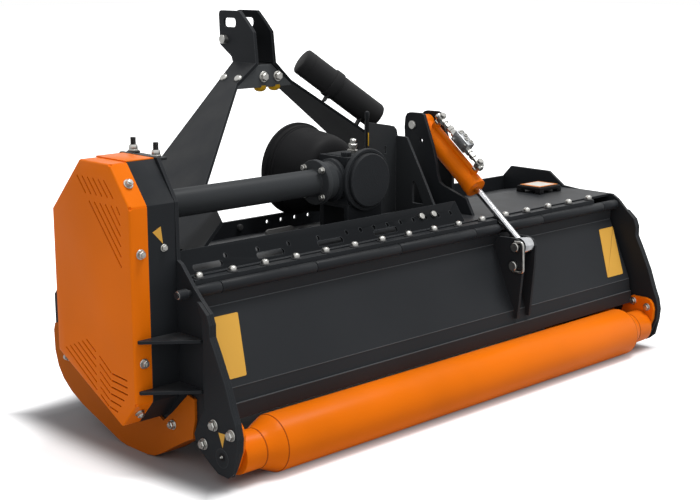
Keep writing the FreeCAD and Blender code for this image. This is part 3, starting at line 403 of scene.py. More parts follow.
def metal_skin_group():
    """Bare or plated metal: slightly uneven tone and shine, and very fine grain."""
    group, given, made = new_group("metal skin", ("Colour", "Roughness"), ("Colour", "Roughness", "Height"))
    patch = noise(group, 70, 3)
    tone = ranged(group, patch, 0.3, 0.7, 0.82, 1.08)
    feed(group, made["Colour"], uneven(group, given["Colour"], tone))
    feed(group, made["Roughness"], maths(group, "MULTIPLY_ADD", patch, 0.16, given["Roughness"]))
    feed(group, made["Height"], noise(group, 600, 3))
    return group


metal_skin = metal_skin_group()
zinc = coated("zinc plate", (0.52, 0.515, 0.49), 0.24, 0, 0.15, metal_skin, metallic=1)

leftward, rightward = (-1, 0, 0), (1, 0, 0)
back, ahead = (0, -1, 0), (0, 1, 0)
upward, downward = (0, 0, 1), (0, 0, -1)
rail_back = (0, -0.813, 0.583)
# Dark grey steel; on the hinge washers its dark tone is a painted reflection and shade
dark_steel = coated("dark grey steel", (0.07, 0.07, 0.072), 0.4, 0, 0.3, metal_skin)
button = stepped_round(9, [(6, 9), (1.5, 8.2), (0.5, 6.5)], 24)
keep(set_out(button, [(at(-7, 43, 496), rail_back), (at(41, 43, 496), rail_back)]),
     "rail_bolts", "frame", zinc)
keep(set_out(button, [(at(x, 437, 455), back) for x in (-435, -320, 330, 520, 700)]),
     "beam_bolts", "frame", dark_steel)


def plain_block(centre, size):
    """A sharp-edged block about a point, in metres."""
    bpy.ops.object.select_all(action="DESELECT")
    bpy.ops.mesh.primitive_cube_add(size=1, location=centre)
    block = bpy.context.object
    block.scale = size
    bpy.ops.object.transform_apply(location=True, rotation=True, scale=True)
    return block


def round_edges(part, width, segments, chosen):
    """Round off those edges of a part whose two ends are chosen."""
    choose(part)
    bpy.ops.object.mode_set(mode="EDIT")
    mesh = bmesh.from_edit_mesh(part.data)
    bpy.ops.mesh.select_mode(type="EDGE")
    bpy.ops.mesh.select_all(action="DESELECT")
    for edge in mesh.edges:
        edge.select_set(chosen(*[vertex.co for vertex in edge.verts]))
    bpy.ops.mesh.bevel(offset=width, segments=segments, affect="EDGES")
    bpy.ops.object.mode_set(mode="OBJECT")


# Two oblong tabs stand upright on the deck between the tower's legs, to hold hoses and
# cables: short pieces of sheet with round ends, welded down.
# The tabs' pale grey coat is painted light on their faces
lit_tab_coat = coated("tab coat with painted light", (0.16, 0.158, 0.155), 0.4, 0.3, 0.2, paint_skin)
tab_size = (0.098, 0.006, 0.018)
tabs = []
for x, z in ((-292, 460), (-90, 461.5)):
    tab = plain_block(at(x, 300, z), tab_size)
    round_edges(tab, 0.0085, 5, lambda one, other: abs(one.y - other.y) > 0.003)
    tabs.append(tab)
keep(join(tabs), "deck_tabs", "frame", lit_tab_coat)


def around(x, y, z, radius, facing):
    """Four places at the corners of a square across the machine, that all face one way."""
    return [(at(x, y + radius * cos(turn), z + radius * sin(turn)), facing)
            for turn in (radians(45), radians(135), radians(225), radians(315))]


# The drive tube runs through a ring on the inside of the left plate, and two studs with
# nuts stand on a small bracket beside the plate's top, where the belt is tightened.
drive_y, drive_z = 190, 603
tube_ring = stepped_round(60, [(2, 62), (9, 62), (2, 60), (0, 50), (9, 48)], 40)
keep(set_out(tube_ring, [(at(-825, drive_y, drive_z), rightward)]),
     "drive_tube_ring", "frame", anthracite)
ring_bolt = hex_bolt(7, 6, 9, 2)
keep(set_out(ring_bolt, around(-812, drive_y, drive_z, 55, rightward)),
     "drive_tube_ring_bolts", "frame", zinc)


def eased_block(low, high, ease, segments=2):
    """A block between two corners, in millimetres, with all its edges rounded over."""
    low, high = at(*low), at(*high)
    block = plain_block((low + high) / 2, high - low)
    round_edges(block, ease / 1000, segments, lambda *ends: True)
    return block


keep(eased_block((-825, 118, 724), (-794, 254, 731), 1.6),
     "belt_tightener_bracket", "frame", anthracite)
tightener = hex_bolt(10.5, 12, 12.5, 4)
stud = stepped_round(6.2, [(1, 7), *[(1.4, 6.0), (0.6, 7.2)] * 8, (1, 6)], 14)
long_stud = stepped_round(6.2, [*[(1.6, 6.0), (0.8, 7.4)] * 22], 14)
stud_x, front_stud_y, rear_stud_y = -807, 234, 144
keep(set_out(tightener, [(at(stud_x, front_stud_y, 735), upward), (at(stud_x, rear_stud_y, 731), upward)]),
     "belt_tightener_nuts", "frame", zinc)
black_plastic = coated("black plastic", (0.012, 0.012, 0.013), 0.48, 0.05, 0.2, paint_skin)
black_steel = coated("black threaded steel", (0.02, 0.02, 0.021), 0.35, 0, 0.2, metal_skin, gloss=0.3)
washer = stepped_round(15, [(1, 16), (3, 16), (0.5, 15)], 24)
keep(join([
    set_out(stud, [(at(stud_x, front_stud_y, 750), upward), (at(stud_x, rear_stud_y, 746), upward)]),
    set_out(long_stud, [(at(stud_x, rear_stud_y, 671), upward), (at(stud_x, front_stud_y, 671), upward)]),
    set_out(washer, [(at(stud_x, front_stud_y, 731), upward)]),
]), "belt_tightener_studs", "frame", black_steel)

# ---------------------------------------------------------------- hood hinge
# A strip bolted along the deck's rear edge carries the hinge tubes. Sixteen zinc-plated
# bolts at a 100 mm pitch hold it, and a long rod runs through tubes of deck and hood.
dress(anthracite, 1.0, "hinge_leaf", "hinge_knuckles_fixed", "hinge_knuckles_moving")
dress(anthracite, 0.8, "hinge_rod")
leaf_ring = stepped_round(11.5, [(1, 12.5), (1.6, 12.5), (1.4, 11)], 24)
leaf_dome = stepped_round(9.4, [(4.2, 9.8), (2.6, 9.2), (2.2, 7.6), (1.6, 5.0), (0.7, 2.0)], 20)
bolt_pitch = 100
leaf_places = [(at(303 if x == 300 else x, 1, 462), upward) for x in range(-800, 701, bolt_pitch)]
# The washers are dark so that each plated dome sits in a dark ring: painted reflection and shade
keep(set_out(leaf_ring, leaf_places), "hinge_leaf_washers", "frame", dark_steel)
keep(set_out(leaf_dome, [(place + Vector((0, 0, 0.0037)), facing) for place, facing in leaf_places]),
     "hinge_leaf_bolts", "frame", zinc)
hinge_y, hinge_z = -10, 435
rod_sleeve = stepped_round(11.5, [(24, 11.5), (1, 10.5)], 28)
rod_face = stepped_round(9.5, [(0.6, 9.5), (0.4, 8.5)], 28)
keep(set_out(rod_sleeve, [(at(-846, hinge_y, hinge_z), leftward)]),
     "hinge_rod_sleeve", "frame", anthracite)
keep(set_out(rod_face, [(at(-871, hinge_y, hinge_z), leftward)]),
     "hinge_rod_face", "frame", zinc)

# ---------------------------------------------------------------- rear hood
# One folded sheet that hangs from the hinge and keeps stones in, coated like the housing.
# Lighter strips on its folds run the whole width as painted highlights; the labels on its face are blank.
# The hood's edge colour is a painted highlight along its corners
hood_coat = coated("anthracite hood coat", (0.026, 0.028, 0.031), 0.36, 0.04, 0.10, paint_skin,
                   edge=(0.09, 0.095, 0.10))
dress(hood_coat, 1.2, "hood_panel")
dress(anthracite, 1.4, "hood_clevis")
hood_fall, hood_rise = 0.9121, 0.4099
hood_plane = Matrix.Translation(at(0, -6, 391)) @ Matrix.Rotation(atan2(hood_fall, hood_rise), 4, "X")
# The fold strips' lighter coat is a painted highlight
fold_highlight_coat = coated("fold coat with painted highlight", (0.085, 0.09, 0.095), 0.35, 0, 0.1, paint_skin)
keep(join([
    eased_block((-805, -7.1, 389.6), (805, -5, 392.2), 0.5),
    eased_block((-805, -87, 211.9), (805, -84.6, 214.2), 0.5),
    eased_block((-805, -96.5, 175.2), (805, -91.5, 176.7), 0.3),
]), "hood_folds", "hood", fold_highlight_coat)


def hood_label(left, right, top, bottom, cuts):
    """A blank film label on the hood's face: its span, then lines that trim its sides."""
    label = plain_block(((left + right) / 2000, -(top + bottom) / 2000, 0.0006),
                        ((right - left) / 1000, (bottom - top) / 1000, 0.0010))
    bpy.ops.object.mode_set(mode="EDIT")
    for (x, down), (across, along) in cuts:
        bpy.ops.mesh.select_all(action="SELECT")
        bpy.ops.mesh.bisect(plane_co=(x / 1000, -down / 1000, 0), plane_no=(across, along, 0),
                            use_fill=True, clear_outer=True)
    bpy.ops.mesh.select_all(action="SELECT")
    bpy.ops.mesh.remove_doubles(threshold=0.0002)
    bpy.ops.mesh.dissolve_limited(angle_limit=radians(1))
    bpy.ops.object.mode_set(mode="OBJECT")
    round_edges(label, 0.004, 3, lambda one, other: abs(one.z - other.z) > 0.0003)
    label.data.transform(hood_plane)
    return label


amber = coated("amber label film", (0.80, 0.43, 0.075), 0.34, 0.0, 0.05, paint_skin)
keep(join([
    hood_label(-784, -690, 26, 175, [((-713.5, 90), (0.985, -0.172))]),
    hood_label(704, 807, 26, 176, [((735, 26), (-0.979, 0.203)), ((807, 29), (0.988, -0.153))]),
]), "hood_labels", "hood", amber)

# The two cheeks on the hood hold the eye of the cylinder's rod on a plated pin with a
# flat head. A second pin below is where the rod is moved to when the hood is set lower.
dress(zinc, 0.6, "clevis_pin")
pin_head = stepped_round(12, [(1.5, 13.5), (8, 13.5), (1.5, 12)], 28)
keep(set_out(pin_head, [(at(242, -91, 396), leftward), (at(242, -86, 342), leftward),
                        (at(302, -91, 396), rightward), (at(302, -86, 342), rightward)]),
     "clevis_pin_heads", "hood", zinc)


def bent_bar(points, radius, corner):
    """A round bar bent along a path, with rounded corners."""
    bpy.ops.object.select_all(action="DESELECT")
    bpy.ops.curve.primitive_bezier_curve_add()
    bar = bpy.context.object
    bar.data.splines.clear()
    path = bar.data.splines.new("POLY")
    route = []
    for index, point in enumerate(points):
        point = Vector(point)
        if index in (0, len(points) - 1):
            route.append(point)
            continue
        before = (Vector(points[index - 1]) - point).normalized() * corner / 1000
        after = (Vector(points[index + 1]) - point).normalized() * corner / 1000
        for share in (0, 0.25, 0.5, 0.75, 1):
            route.append(point + before * (1 - share) ** 2 + after * share ** 2)
    path.points.add(len(route) - 1)
    for knot, point in zip(path.points, route):
        knot.co = (*point, 1)
    bar.data.dimensions = "3D"
    bar.data.bevel_depth = radius / 1000
    bar.data.bevel_resolution = 4
    bar.data.use_fill_caps = True
    bpy.ops.object.convert(target="MESH")
    return bpy.context.object


# A bent bar is hooked over both pin heads on the left cheek, and keeps them from turning
keep(bent_bar([at(238, -88, 411), at(238, -117, 413), at(238, -121, 326), at(238, -84, 327)], 3.4, 12),
     "clevis_keeper", "hood", zinc)

# ---------------------------------------------------------------- hood cylinder
# A double-acting cylinder in the machine's orange, with a chromed rod. A lock valve of
# grey alloy sits on ports on its upper side, with plated unions at both ends.
orange = coated("orange coat", (0.95, 0.195, 0.003), 0.28, 0.02, 0.08, paint_skin, gloss=0.07)
dress(orange, 1.2, "cylinder_barrel")
chrome = coated("hard chrome", (0.62, 0.63, 0.65), 0.10, 0, 0.02, metal_skin, metallic=1)
dress(chrome, 0.8, "cylinder_rod")
dress(zinc, 0.8, "cylinder_pin")
dress(anthracite, 1.4, "cylinder_bracket")
# The upright plate takes the lighter copy of the coat: painted light
dress(lit_coat, 1.4, "upright_plate")
alloy = coated("grey alloy", (0.42, 0.43, 0.44), 0.32, 0, 0.3, metal_skin, metallic=1)

pin_low, pin_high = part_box("cylinder_pin")
upper_pin = (Vector(pin_low) + Vector(pin_high)) / 2
eye_low, eye_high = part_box("clevis_pin")
reach = (Vector(eye_low) + Vector(eye_high)) / 2 - upper_pin
along_cylinder = Matrix.Translation(upper_pin) @ Matrix.Rotation(atan2(-reach.y, reach.z), 4, "X")


def on_cylinder(model, places):
    """Copies at (across, off the top side, down the barrel), facing a way of the cylinder's own."""
    part = set_out(model, [(Vector(place) / 1000, facing) for place, facing in places])
    part.data.transform(along_cylinder)
    return part


def loose_block(low, high, ease, segments=2):
    """A rounded block in a frame of its own, in millimetres, to be carried to its place."""
    block = eased_block(low, high, ease, segments)
    block.data.transform(Matrix.Translation(-at(0, 0, 0)))
    return block


off_side, down_barrel, up_barrel = (0, 1, 0), (0, 0, 1), (0, 0, -1)
boss = stepped_round(11.5, [(15, 11.5), (2, 10)], 24)
gland = stepped_round(29.2, [(1.5, 31), (17, 31), (1.5, 29.5), (0, 14), (1, 13)], 40)
rail = loose_block((-9, 25, 40), (9, 38, 240), 4, 3)
rail.data.transform(along_cylinder)
keep(join([
    on_cylinder(boss, [((0, 27, 44), off_side), ((0, 23, 234), off_side)]),
    on_cylinder(gland, [((0, 0, 252.6), down_barrel)]),
    rail,
]), "cylinder_ports", "cylinder_barrel", orange)

# The lock valve: a milled block with socket plugs on its top, joined to both ports by
# plated elbows and hexagon unions
block = loose_block((-14.5, 53, 118), (14.5, 86, 179), 1.4)
block.data.transform(along_cylinder)
keep(block, "valve_body", "cylinder_barrel", alloy)
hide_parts("valve_block")
union = hex_bolt(11, 8, 9.5, 1)
elbow = loose_block((-9, -9, -9), (9, 11, 9), 3, 2)
nut = stepped_round(10.5, [
    (1, 11.5), (11, 11.5), (1, 10.5), (0, 8.5), (7, 8.5), (0, 9.5), (1, 10.8), (10, 10.8), (1, 9.5),
    (0, 7.5), (16, 7.5)], 6)
cap_nut = stepped_round(8.5, [(1, 9.6), (6, 9.6), (2, 8)], 12)
plug = stepped_round(6.5, [(1, 6.5), (2.5, 6.5), (0, 3.6), (-2, 3.6)], 18)
small_plug = stepped_round(4.5, [(3, 4.5), (1, 3.5)], 6)
keep(join([
    on_cylinder(union, [((0, 42, 44), off_side), ((0, 38, 234), off_side)]),
    on_cylinder(elbow, [((0, 61, 46), down_barrel), ((0, 57, 234), down_barrel)]),
    on_cylinder(cap_nut, [((0, 72, 46), off_side), ((0, 61, 38), up_barrel), ((0, 68, 234), off_side),
                          ((0, 57, 242), down_barrel), ((9, 57, 234), rightward)]),
    on_cylinder(nut, [((0, 63, 54), down_barrel), ((0, 65, 119), up_barrel), ((0, 62, 178), down_barrel)]),
    on_cylinder(plug, [((x, 86, along), off_side)
                       for x, along in ((-5, 128), (6, 142), (-4, 157), (6, 170))]),
    on_cylinder(small_plug, [((-14, 60, 126), leftward), ((-14, 76, 170), leftward),
                             ((7, 86, 126), off_side)]),
]), "valve_fittings", "cylinder_barrel", zinc)
pin_y, pin_z = 300, 706
pin_end = stepped_round(12.5, [(1.5, 12.5), (1, 11.4)], 28)
keep(set_out(pin_end, [(at(227.7, pin_y, pin_z), leftward), (at(316.3, pin_y, pin_z), rightward)]),
     "cylinder_pin_ends", "frame", zinc)

# A round post with a yellow level mark stands against the upright plate's left end
post = stepped_round(5.2, [(96, 5.2), (2, 6.4), (16, 6.4), (3, 4.4)], 16)
keep(set_out(post, [(at(48, 306.5, 642), upward)]), "upright_post", "frame", anthracite)
yellow = coated("yellow plastic", (0.75, 0.42, 0.02), 0.4, 0, 0.1, paint_skin)
keep(eased_block((46.4, 299.9, 660), (49.6, 301.8, 698), 0.4),
     "upright_level_mark", "frame", yellow)

# ---------------------------------------------------------------- rotor
# A thick steel tube with rows of forged hammers between welded lugs. Its shaft turns in
# flanged bearings that are bolted to the outside of the side plates.
forged = coated("forged steel", (0.10, 0.09, 0.085), 0.5, 0, 0.5, metal_skin, metallic=0.8)
dress(anthracite, 1.5, "rotor_drum")
dress(forged, 3.0, "rotor_hammers")
dress(anthracite, 1.5, "rotor_bearings")
rotor_y, rotor_z = 195, 242
lug_foot = 0.103
rows, pairs_in_row, pair_pitch, half_gap = 4, 14, 112, 41
lug = plain_block((0, 0, 0.018), (0.010, 0.052, 0.040))
round_edges(lug, 0.016, 3, lambda one, other: abs(one.x - other.x) > 0.005 and one.z > 0.03)
models.append(lug)
lugs = []
for row in range(rows):
    for pair in range(pairs_in_row):
        spin = Matrix.Rotation(radians(90 * row + 22.5 * (pair % 4)), 4, "X")
        for side in (-1, 1):
            copy = lug.copy()
            copy.data = lug.data.copy()
            place = at(-728 + pair_pitch * pair + side * half_gap, rotor_y, rotor_z)
            copy.data.transform(Matrix.Translation(place) @ spin @ Matrix.Translation((0, 0, lug_foot)))
            scene.collection.objects.link(copy)
            lugs.append(copy)
keep(join(lugs), "rotor_lugs", "rotor", forged)
bearing_bolt = hex_bolt(8, 3, 10, 0.9)
keep(set_out(bearing_bolt, around(877, rotor_y, rotor_z, 45, rightward)),
     "rotor_bearing_bolts", "frame", zinc)

# ---------------------------------------------------------------- roller
# A rolled and welded steel drum in gloss orange, with turned-down ends. It hangs between
# two arms outside the side plates, each held by three flanged bolts.
dress(orange, 1.0, "roller_drum")
dress(orange, 1.5, "roller_bearing_left", "roller_bearing_right")
dress(anthracite, 1.4, "roller_arm_left", "roller_arm_right")
roller_y, roller_z = -127, 70
seams = []
for x, radius in ((-701, 68.75), (701, 68.75), (-749, 47.8), (749, 47.8)):
    bpy.ops.object.select_all(action="DESELECT")
    bpy.ops.mesh.primitive_torus_add(
        location=at(x, roller_y, roller_z), rotation=(0, pi / 2, 0), major_segments=96, minor_segments=8,
        major_radius=radius / 1000, minor_radius=0.0012)
    seam = bpy.context.object
    bpy.ops.object.transform_apply(location=True, rotation=True, scale=True)
    bpy.ops.object.mode_set(mode="EDIT")
    bpy.ops.mesh.select_all(action="SELECT")
    bpy.ops.transform.resize(value=(1.6, 1, 1))
    bpy.ops.object.mode_set(mode="OBJECT")
    seams.append(seam)
seam_coat = coated("orange coat in a seam", (0.42, 0.075, 0.004), 0.5, 0, 0.1, paint_skin)
keep(join(seams), "roller_seams", "roller", seam_coat)


def both_sides(x, y, z):
    """The same place on the left and on the right of the machine, facing outwards."""
    return [(at(-x, y, z), leftward), (at(x, y, z), rightward)]


arm_bolt = hex_bolt(11.4, 9, 14, 3, 1)
keep(set_out(arm_bolt, both_sides(845, -101, 143) + both_sides(845, -62, 88) + both_sides(845, -163, 134)),
     "roller_arm_bolts", "frame", zinc)
plate_bolt = hex_bolt(9.5, 7, 12, 2.5)
keep(set_out(plate_bolt, both_sides(-813, -101, 143) + both_sides(-813, -151, 132)),
     "bearing_plate_bolts", "frame", zinc)
stub_face = stepped_round(23.2, [(0.4, 23.2), (0.4, 22.4)], 48)
keep(set_out(stub_face, both_sides(845.02, roller_y, roller_z)),
     "roller_stub_faces", "roller", anthracite)
grease_y, grease_z = -129, 74
# A black disc with a shallow dimple round the grease nipple stands for the hole in the stub's end; its
# black is painted shade
hole_shade = stepped_round(9, [(0.3, 10), (0.8, 9.5), (0, 6), (-0.6, 5.5)], 32)
nipple = stepped_round(3.6, [(1.5, 3.6), (1.5, 2.2), (2, 2.4), (1, 1.4)], 12)
keep(set_out(hole_shade, both_sides(845.8, grease_y, grease_z)),
     "roller_stub_hole_shades", "roller", black_plastic)
keep(set_out(nipple, both_sides(846.2, grease_y, grease_z)),
     "roller_grease_nipples", "roller", zinc)

# ---------------------------------------------------------------- gearbox and drive line
# A cast gearbox on a folded stand takes the tractor's shaft and turns it through a right
# angle into a long tube, which leads to the belt drive. A plastic bell guards the shaft.
# The casting's edge colour is a painted highlight along its corners
cast = coated("anthracite casting", (0.022, 0.024, 0.027), 0.42, 0.10, 0.9, paint_skin,
              edge=(0.07, 0.074, 0.078))
dress(cast, 9.0, "gearbox_housing")
dress(anthracite, 1.2, "gearbox_stand")
# The drive tube takes the lighter copy of the coat: painted light
dress(lit_coat, 2.0, "drive_tube")
dress(zinc, 1.0, "pto_shaft")
shaft_x, shaft_z = -130, 603
cap_model = stepped_round(82, [
    (2, 84), (8, 84), (2.5, 82), (0.1, 76), (-2, 74), (0, 72), (10.5, 72), (2.5, 69.5), (0.2, 32),
    (0, 4)], 72)
cap = set_out(cap_model, [(at(shaft_x, 135, shaft_z), back)])
keep(cap, "gearbox_cap_cover", "frame", cast)
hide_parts("gearbox_cap")
flange_bolt = hex_bolt(8, 8, 9.5, 2)
keep(set_out(flange_bolt, [(at(-267, drive_y + y, drive_z + z), leftward)
                           for y in (-35, 35) for z in (-36, 36)]),
     "gearbox_bolts", "frame", zinc)
plug_base = stepped_round(13, [(4, 14), (6, 14), (2, 11)], 8)
vent = stepped_round(12, [
    (2, 15), (9, 15), (1, 13), (0, 9), (5, 9), (0, 11), (1, 12.5), (9, 12.5), (1, 11), (0, 7),
    (5, 7), (0, 9), (6, 9), (2, 6)], 6)
keep(set_out(vent, [(at(-128, 186, 667), (0, -0.1, 1))]), "gearbox_vent", "frame", zinc)
nose = stepped_round(56, [(3, 58), (12, 58), (4, 52), (8, 50)], 40)
keep(join([
    set_out(plug_base, [(at(-176, 160, 668), upward)]),
    set_out(nose, [(at(-194, drive_y, drive_z), leftward)]),
    eased_block((-172, 134, 580), (-160, 144, 655), 3),
    eased_block((-194, 138, 598), (-202, 242, 608), 3),
    eased_block((-194, 186, 545), (-202, 194, 660), 3),
    eased_block((-186, 150, 662), (-74, 232, 670), 4),
]), "gearbox_details", "frame", cast)
teeth = []
for turn in range(0, 360, 60):
    tooth = eased_block((-134, 290, 617), (-126, 378, 621.5), 1)
    shaft = at(shaft_x, 0, shaft_z)
    tooth.data.transform(
        Matrix.Translation(shaft) @ Matrix.Rotation(radians(turn), 4, "Y") @ Matrix.Translation(-shaft))
    teeth.append(tooth)
keep(join(teeth), "pto_splines", "pto_shaft", zinc)

# The guard: a blow-moulded bell with a round shoulder, two fine beads and an outward rim
bell_model = stepped_round(62, [
    (2, 80), (6, 92), (10, 101), (24, 108), (30, 112), (30, 115.5), (22, 118),
    (2, 121), (3, 121), (2, 118.5), (3, 118.5), (2, 122),
    (10, 124), (3, 130), (9, 130), (2, 128.5), (0, 125),
    (-9, 125), (-14, 117), (-40, 111), (-60, 104), (-28, 88), (-5, 72), (0, 58),
], 72)
bell = set_out(bell_model, [(at(shaft_x, 253.5, shaft_z), ahead)])
keep(bell, "pto_guard_bell", "frame", black_plastic)
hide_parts("pto_guard")

# ---------------------------------------------------------------- hitch tower
# Two bent plates that spread into legs, a gusset between them, and the top-link pin. The
# gusset's plated bolts have yellow plastic caps on their ends below.
dress(anthracite, 1.4, "tower_left")
# The right plate takes the darker copy of the coat, painted shade; the gusset a paler one, painted light
dress(shade_coat, 1.4, "tower_right")
lit_gusset_coat = coated("gusset coat with painted light", (0.085, 0.09, 0.094), 0.36, 0.04, 0.10, paint_skin,
                     edge=(0.2, 0.205, 0.21))
dress(lit_gusset_coat, 1.4, "tower_gusset")
dress(zinc, 1.0, "top_link_pin")
leg_out = (-0.643, 0, 0.766)
gusset_bolt = hex_bolt(12, 9, 16, 3.5)
dome = stepped_round(12.5, [(2, 12.5), (2.2, 11.6), (2, 9.4), (1.4, 5.6)], 28)
keep(join([
    set_out(gusset_bolt, [(at(-134, 544, 853), back), (at(-81, 544, 853), back)]),
    set_out(dome, [(at(-218, 619, 851), leg_out), (at(-217, 556, 852), leg_out)]),
]), "tower_bolts", "frame", zinc)
bolt_cap = stepped_round(18, [(7, 18), (5, 16.5), (4, 12), (2, 6)], 24)
keep(set_out(bolt_cap, [(at(-134, 560, 828), downward), (at(-81, 560, 828), downward)]),
     "tower_bolt_caps", "frame", yellow)

# ---------------------------------------------------------------- lower links
# An ear of thick plate under each leg carries a plated pin that points outwards. A lynch
# pin with a sprung ring keeps the tractor's arm on it.
dress(anthracite, 1.6, "link_ear_left", "link_ear_right")
dress(zinc, 1.0, "link_pin_left", "link_pin_right")
lynch = stepped_round(4, [(1, 4.5), (56, 4.5), (2, 2.5)], 14)
lynch.data.transform(Matrix.Translation((0, 0, -0.028)))
bpy.ops.object.select_all(action="DESELECT")
bpy.ops.mesh.primitive_torus_add(location=(0, 0.018, 0.030), rotation=(0, pi / 2, 0), major_segments=40,
                                 minor_segments=8, major_radius=0.019, minor_radius=0.0018)
loop = bpy.context.object
bpy.ops.object.transform_apply(location=True, rotation=True, scale=True)
bpy.ops.object.mode_set(mode="EDIT")
bpy.ops.mesh.select_all(action="SELECT")
bpy.ops.transform.resize(value=(1, 1, 0.85))
bpy.ops.object.mode_set(mode="OBJECT")
lynch = join([lynch, loop])
link_y, link_z = 640, 346
keep(set_out(lynch, [(at(-624, link_y, link_z), upward), (at(364, link_y, link_z), upward)]),
     "lower_link_lynch_pins", "frame", zinc)

# ---------------------------------------------------------------- belt drive
# A folded sheet cover in orange over an anthracite box. Rows of slots are cut in the
# cover's face to let the belts' heat out, with a small round relief where its folds meet.
dress(anthracite, 1.2, "belt_box", "belt_webs")
cover = nodes["belt_cover"].copy()
cover.data = nodes["belt_cover"].data.copy()
cover.parent = None
scene.collection.objects.link(cover)
choose(cover)
bpy.ops.mesh.customdata_custom_splitnormals_clear()
bpy.ops.object.mode_set(mode="EDIT")
bpy.ops.mesh.select_all(action="SELECT")
bpy.ops.mesh.remove_doubles(threshold=weld_gap)
bpy.ops.mesh.dissolve_limited(angle_limit=radians(1))
bpy.ops.object.mode_set(mode="OBJECT")
cover_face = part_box("belt_cover")[0][0]
round_edges(cover, 0.0045, 3, lambda *ends: min(abs(end.x - cover_face) for end in ends) < 0.0001)
cover_x = -958
slot_depth, slot_width = 0.014, 0.0036


def slot_cutter(start, end):
    """A thin bar that cuts one slot through the cover, between ends given as (y, z)."""
    a, b = at(cover_x, *start), at(cover_x, *end)
    run = b - a
    bpy.ops.object.select_all(action="DESELECT")
    bpy.ops.mesh.primitive_cube_add(size=1)
    cutter = bpy.context.object
    cutter.data.transform(
        Matrix.Translation((a + b) / 2) @ Matrix.Rotation(-atan2(run.y, run.z), 4, "X")
        @ Matrix.Diagonal((slot_depth, slot_width, run.length, 1)))
    return cutter


cutters = []
for step in range(6):
    knee = (134 + 2.8 * step, 239 - 16.8 * step)
    cutters.append(slot_cutter((244 - 21.6 * step, 693), (210 - 22 * step, 654)))
    cutters.append(slot_cutter((198 - 22 * step, 638), (76, 500 + 24 * step)))
    cutters.append(slot_cutter((323 - 18 * step, 264 + 7.4 * step), (195.5, 184 + 18.8 * step)))
    cutters.append(slot_cutter((181, 271 - 19 * step), knee))
    cutters.append(slot_cutter((knee[0] - 3, knee[1] - 0.6), (70 + 14 * max(0, step - 2), 234 - 17 * step)))
for y, z in ((39, 639), (112, 731), (39, 181)):
    bpy.ops.mesh.primitive_ico_sphere_add(subdivisions=2, radius=0.0058, location=at(-957.5, y, z))
    cutters.append(bpy.context.object)
    bpy.ops.object.transform_apply(location=True, rotation=True, scale=True)
    cutters.append(plain_block(at(-933, y, z), (0.044, 0.0026, 0.0026)))
cutters = join(cutters)
choose(cover)
trim = cover.modifiers.new("slots", "BOOLEAN")
trim.operation = "DIFFERENCE"
trim.solver = "EXACT"
trim.use_self = True
trim.object = cutters
bpy.ops.object.modifier_apply(modifier="slots")
bpy.data.objects.remove(cutters)
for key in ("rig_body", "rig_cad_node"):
    if key in cover:
        del cover[key]
keep(cover, "belt_cover_shell", "frame", orange)
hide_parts("belt_cover")

top_sheet = eased_block((-913, 113, 731.1), (-836, 236, 734), 0.8)
keep(top_sheet, "belt_cover_top_lap", "frame", orange)
cover_bolt = hex_bolt(9.2, 9, 12, 3, 2)
keep(set_out(cover_bolt, [
    (at(-934, 39, 532), back), (at(-934, 39, 277), back),
    (at(-934, 77, 687), (0, -0.783, 0.622)), (at(-934, 63, 154.5), (0, -0.741, -0.671)),
    *((at(-936, 357, z), ahead) for z in (540, 345, 270)),
]), "belt_cover_bolts", "frame", zinc)
box_bolt = hex_bolt(7.2, 6, 9, 2)
keep(set_out(box_bolt, [(at(-869, 39, 538), back)]), "belt_box_bolt", "frame", zinc)


def label_triangle(apex, base, width, off):
    """A blank three-cornered label, from its apex and the middle of its base."""
    run = apex - base
    bpy.ops.object.select_all(action="DESELECT")
    bpy.ops.mesh.primitive_circle_add(vertices=3, radius=1, fill_type="NGON")
    triangle = bpy.context.object
    bpy.ops.object.mode_set(mode="EDIT")
    bpy.ops.mesh.select_all(action="SELECT")
    bpy.ops.transform.resize(value=(width / 1732, run.length / 1.5, 1), center_override=(0, 0, 0))
    bpy.ops.mesh.extrude_region_move(TRANSFORM_OT_translate={"value": (0, 0, 0.0005)})
    bpy.ops.mesh.select_all(action="SELECT")
    bpy.ops.mesh.normals_make_consistent(inside=False)
    bpy.ops.object.mode_set(mode="OBJECT")
    along = run.normalized()
    across = along.cross(off)
    turn = Matrix((across, along, off)).transposed().to_4x4()
    triangle.data.transform(Matrix.Translation(base + run / 3) @ turn)
    return triangle


keep(join([
    label_triangle(at(-871, 39, 548), at(-887.5, 39, 583), 25, Vector(back)),
    label_triangle(at(-845, -130, 96), at(-845, -128, 130), 24, Vector(leftward)),
]), "danger_labels", "frame", amber)

# ---------------------------------------------------------------- skids
# A bent sole with a welded flank under each side plate, coated in the machine's orange
# and bolted on, so that it can be changed when it has worn.
# The skids' orange is darker than the machine's: painted shade from the belt cover above
shaded_orange = coated("orange coat with painted shade", (0.50, 0.115, 0.006), 0.42, 0.1, 0.1, paint_skin,
                    gloss=0.06)
dress(shaded_orange, 1.4, "skid_left", "skid_right")
skid_bolt = hex_bolt(9.8, 9, 12.5, 3, 3)
keep(set_out(skid_bolt, both_sides(843, 58, 104) + both_sides(843, 500, 178)),
     "skid_bolts", "frame", zinc)

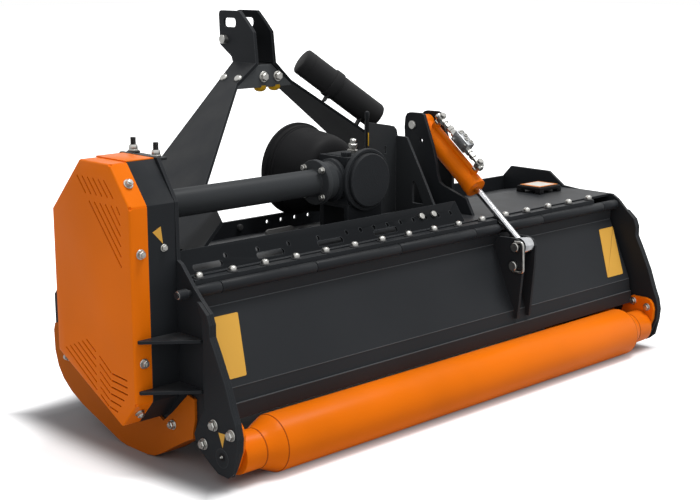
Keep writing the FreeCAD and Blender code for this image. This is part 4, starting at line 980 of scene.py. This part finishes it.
# ---------------------------------------------------------------- document tube
# A black plastic tube with a screw lid, clipped along the outside of the right leg, in
# which the machine's papers are kept dry.
leg_way = Vector((0.7152, -0.3584, -0.6001))
leg_off = Vector((0.6428, 0, 0.7660))
tube_top = at(5.7, 537.3, 893.3)
can = stepped_round(32, [(1.5, 36), (2.5, 39), (4, 40), (272, 40), (5, 39), (5, 36), (4, 30), (2, 21)], 48)
saddle = stepped_round(40.2, [(1, 42.5), (3, 43.6), (22, 43.6), (3, 42.5), (1, 40.2)], 48)
lid_line = stepped_round(39.6, [(0.4, 40.6), (2.4, 40.6), (0.4, 39.6)], 48)
tube_turn = Matrix((leg_off, leg_way.cross(leg_off), leg_way)).transposed().to_4x4()
saddle.data.transform(Matrix.Translation((0, 0, 0.106)))
lid_line.data.transform(Matrix.Translation((0, 0, 0.026)))
fins = [loose_block((-62.5, -14, down - 2.5), (-32, 14, down + 2.5), 1.2) for down in (122, 246)]
can = join([can, saddle, lid_line, *fins])
can.data.transform(Matrix.Translation(tube_top) @ tube_turn)
grey_plastic = coated("weathered black plastic", (0.026, 0.026, 0.027), 0.5, 0.1, 0.2, paint_skin)
keep(can, "document_tube_can", "frame", grey_plastic)
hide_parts("document_tube")

# ---------------------------------------------------------------- control module
# A small sealed electronics box on the deck's right end, with a raised lid and a blank
# film label in white with an orange edge.
case_low, case_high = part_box("control_module")
left, right = ((corner[0] - middle_x) * 1000 for corner in (case_low, case_high))
rear, front = ((corner[1] - datum_y) * 1000 for corner in (case_low, case_high))
foot, lid = (corner[2] * 1000 for corner in (case_low, case_high))
case = [eased_block((left + 2, rear + 2, foot + 9), (right - 2, front - 2, lid - 2), 2.5, 3),
        eased_block((left + 7, rear + 7, lid - 5), (right - 7, front - 7, lid), 1.6)]
for x in (left + 1, right - 21):
    for y in (rear + 1, front - 21):
        case.append(eased_block((x, y, foot), (x + 20, y + 20, foot + 13), 1.6))
case = join(case)
keep(case, "control_module_case", "frame", black_plastic)
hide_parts("control_module")
label_orange = coated("orange label film", (0.85, 0.26, 0.03), 0.3, 0, 0.05, paint_skin)
label_white = coated("white label film", (0.82, 0.80, 0.74), 0.3, 0, 0.05, paint_skin)
keep(eased_block((left + 9, rear + 9, lid), (right - 9, front - 9, lid + 0.6), 0.2),
     "control_module_label_edge", "frame", label_orange)
keep(eased_block((left + 20, rear + 16, lid + 0.4), (right - 20, front - 16, lid + 1.1), 0.2),
     "control_module_label", "frame", label_white)

for model in models:
    bpy.data.objects.remove(model)
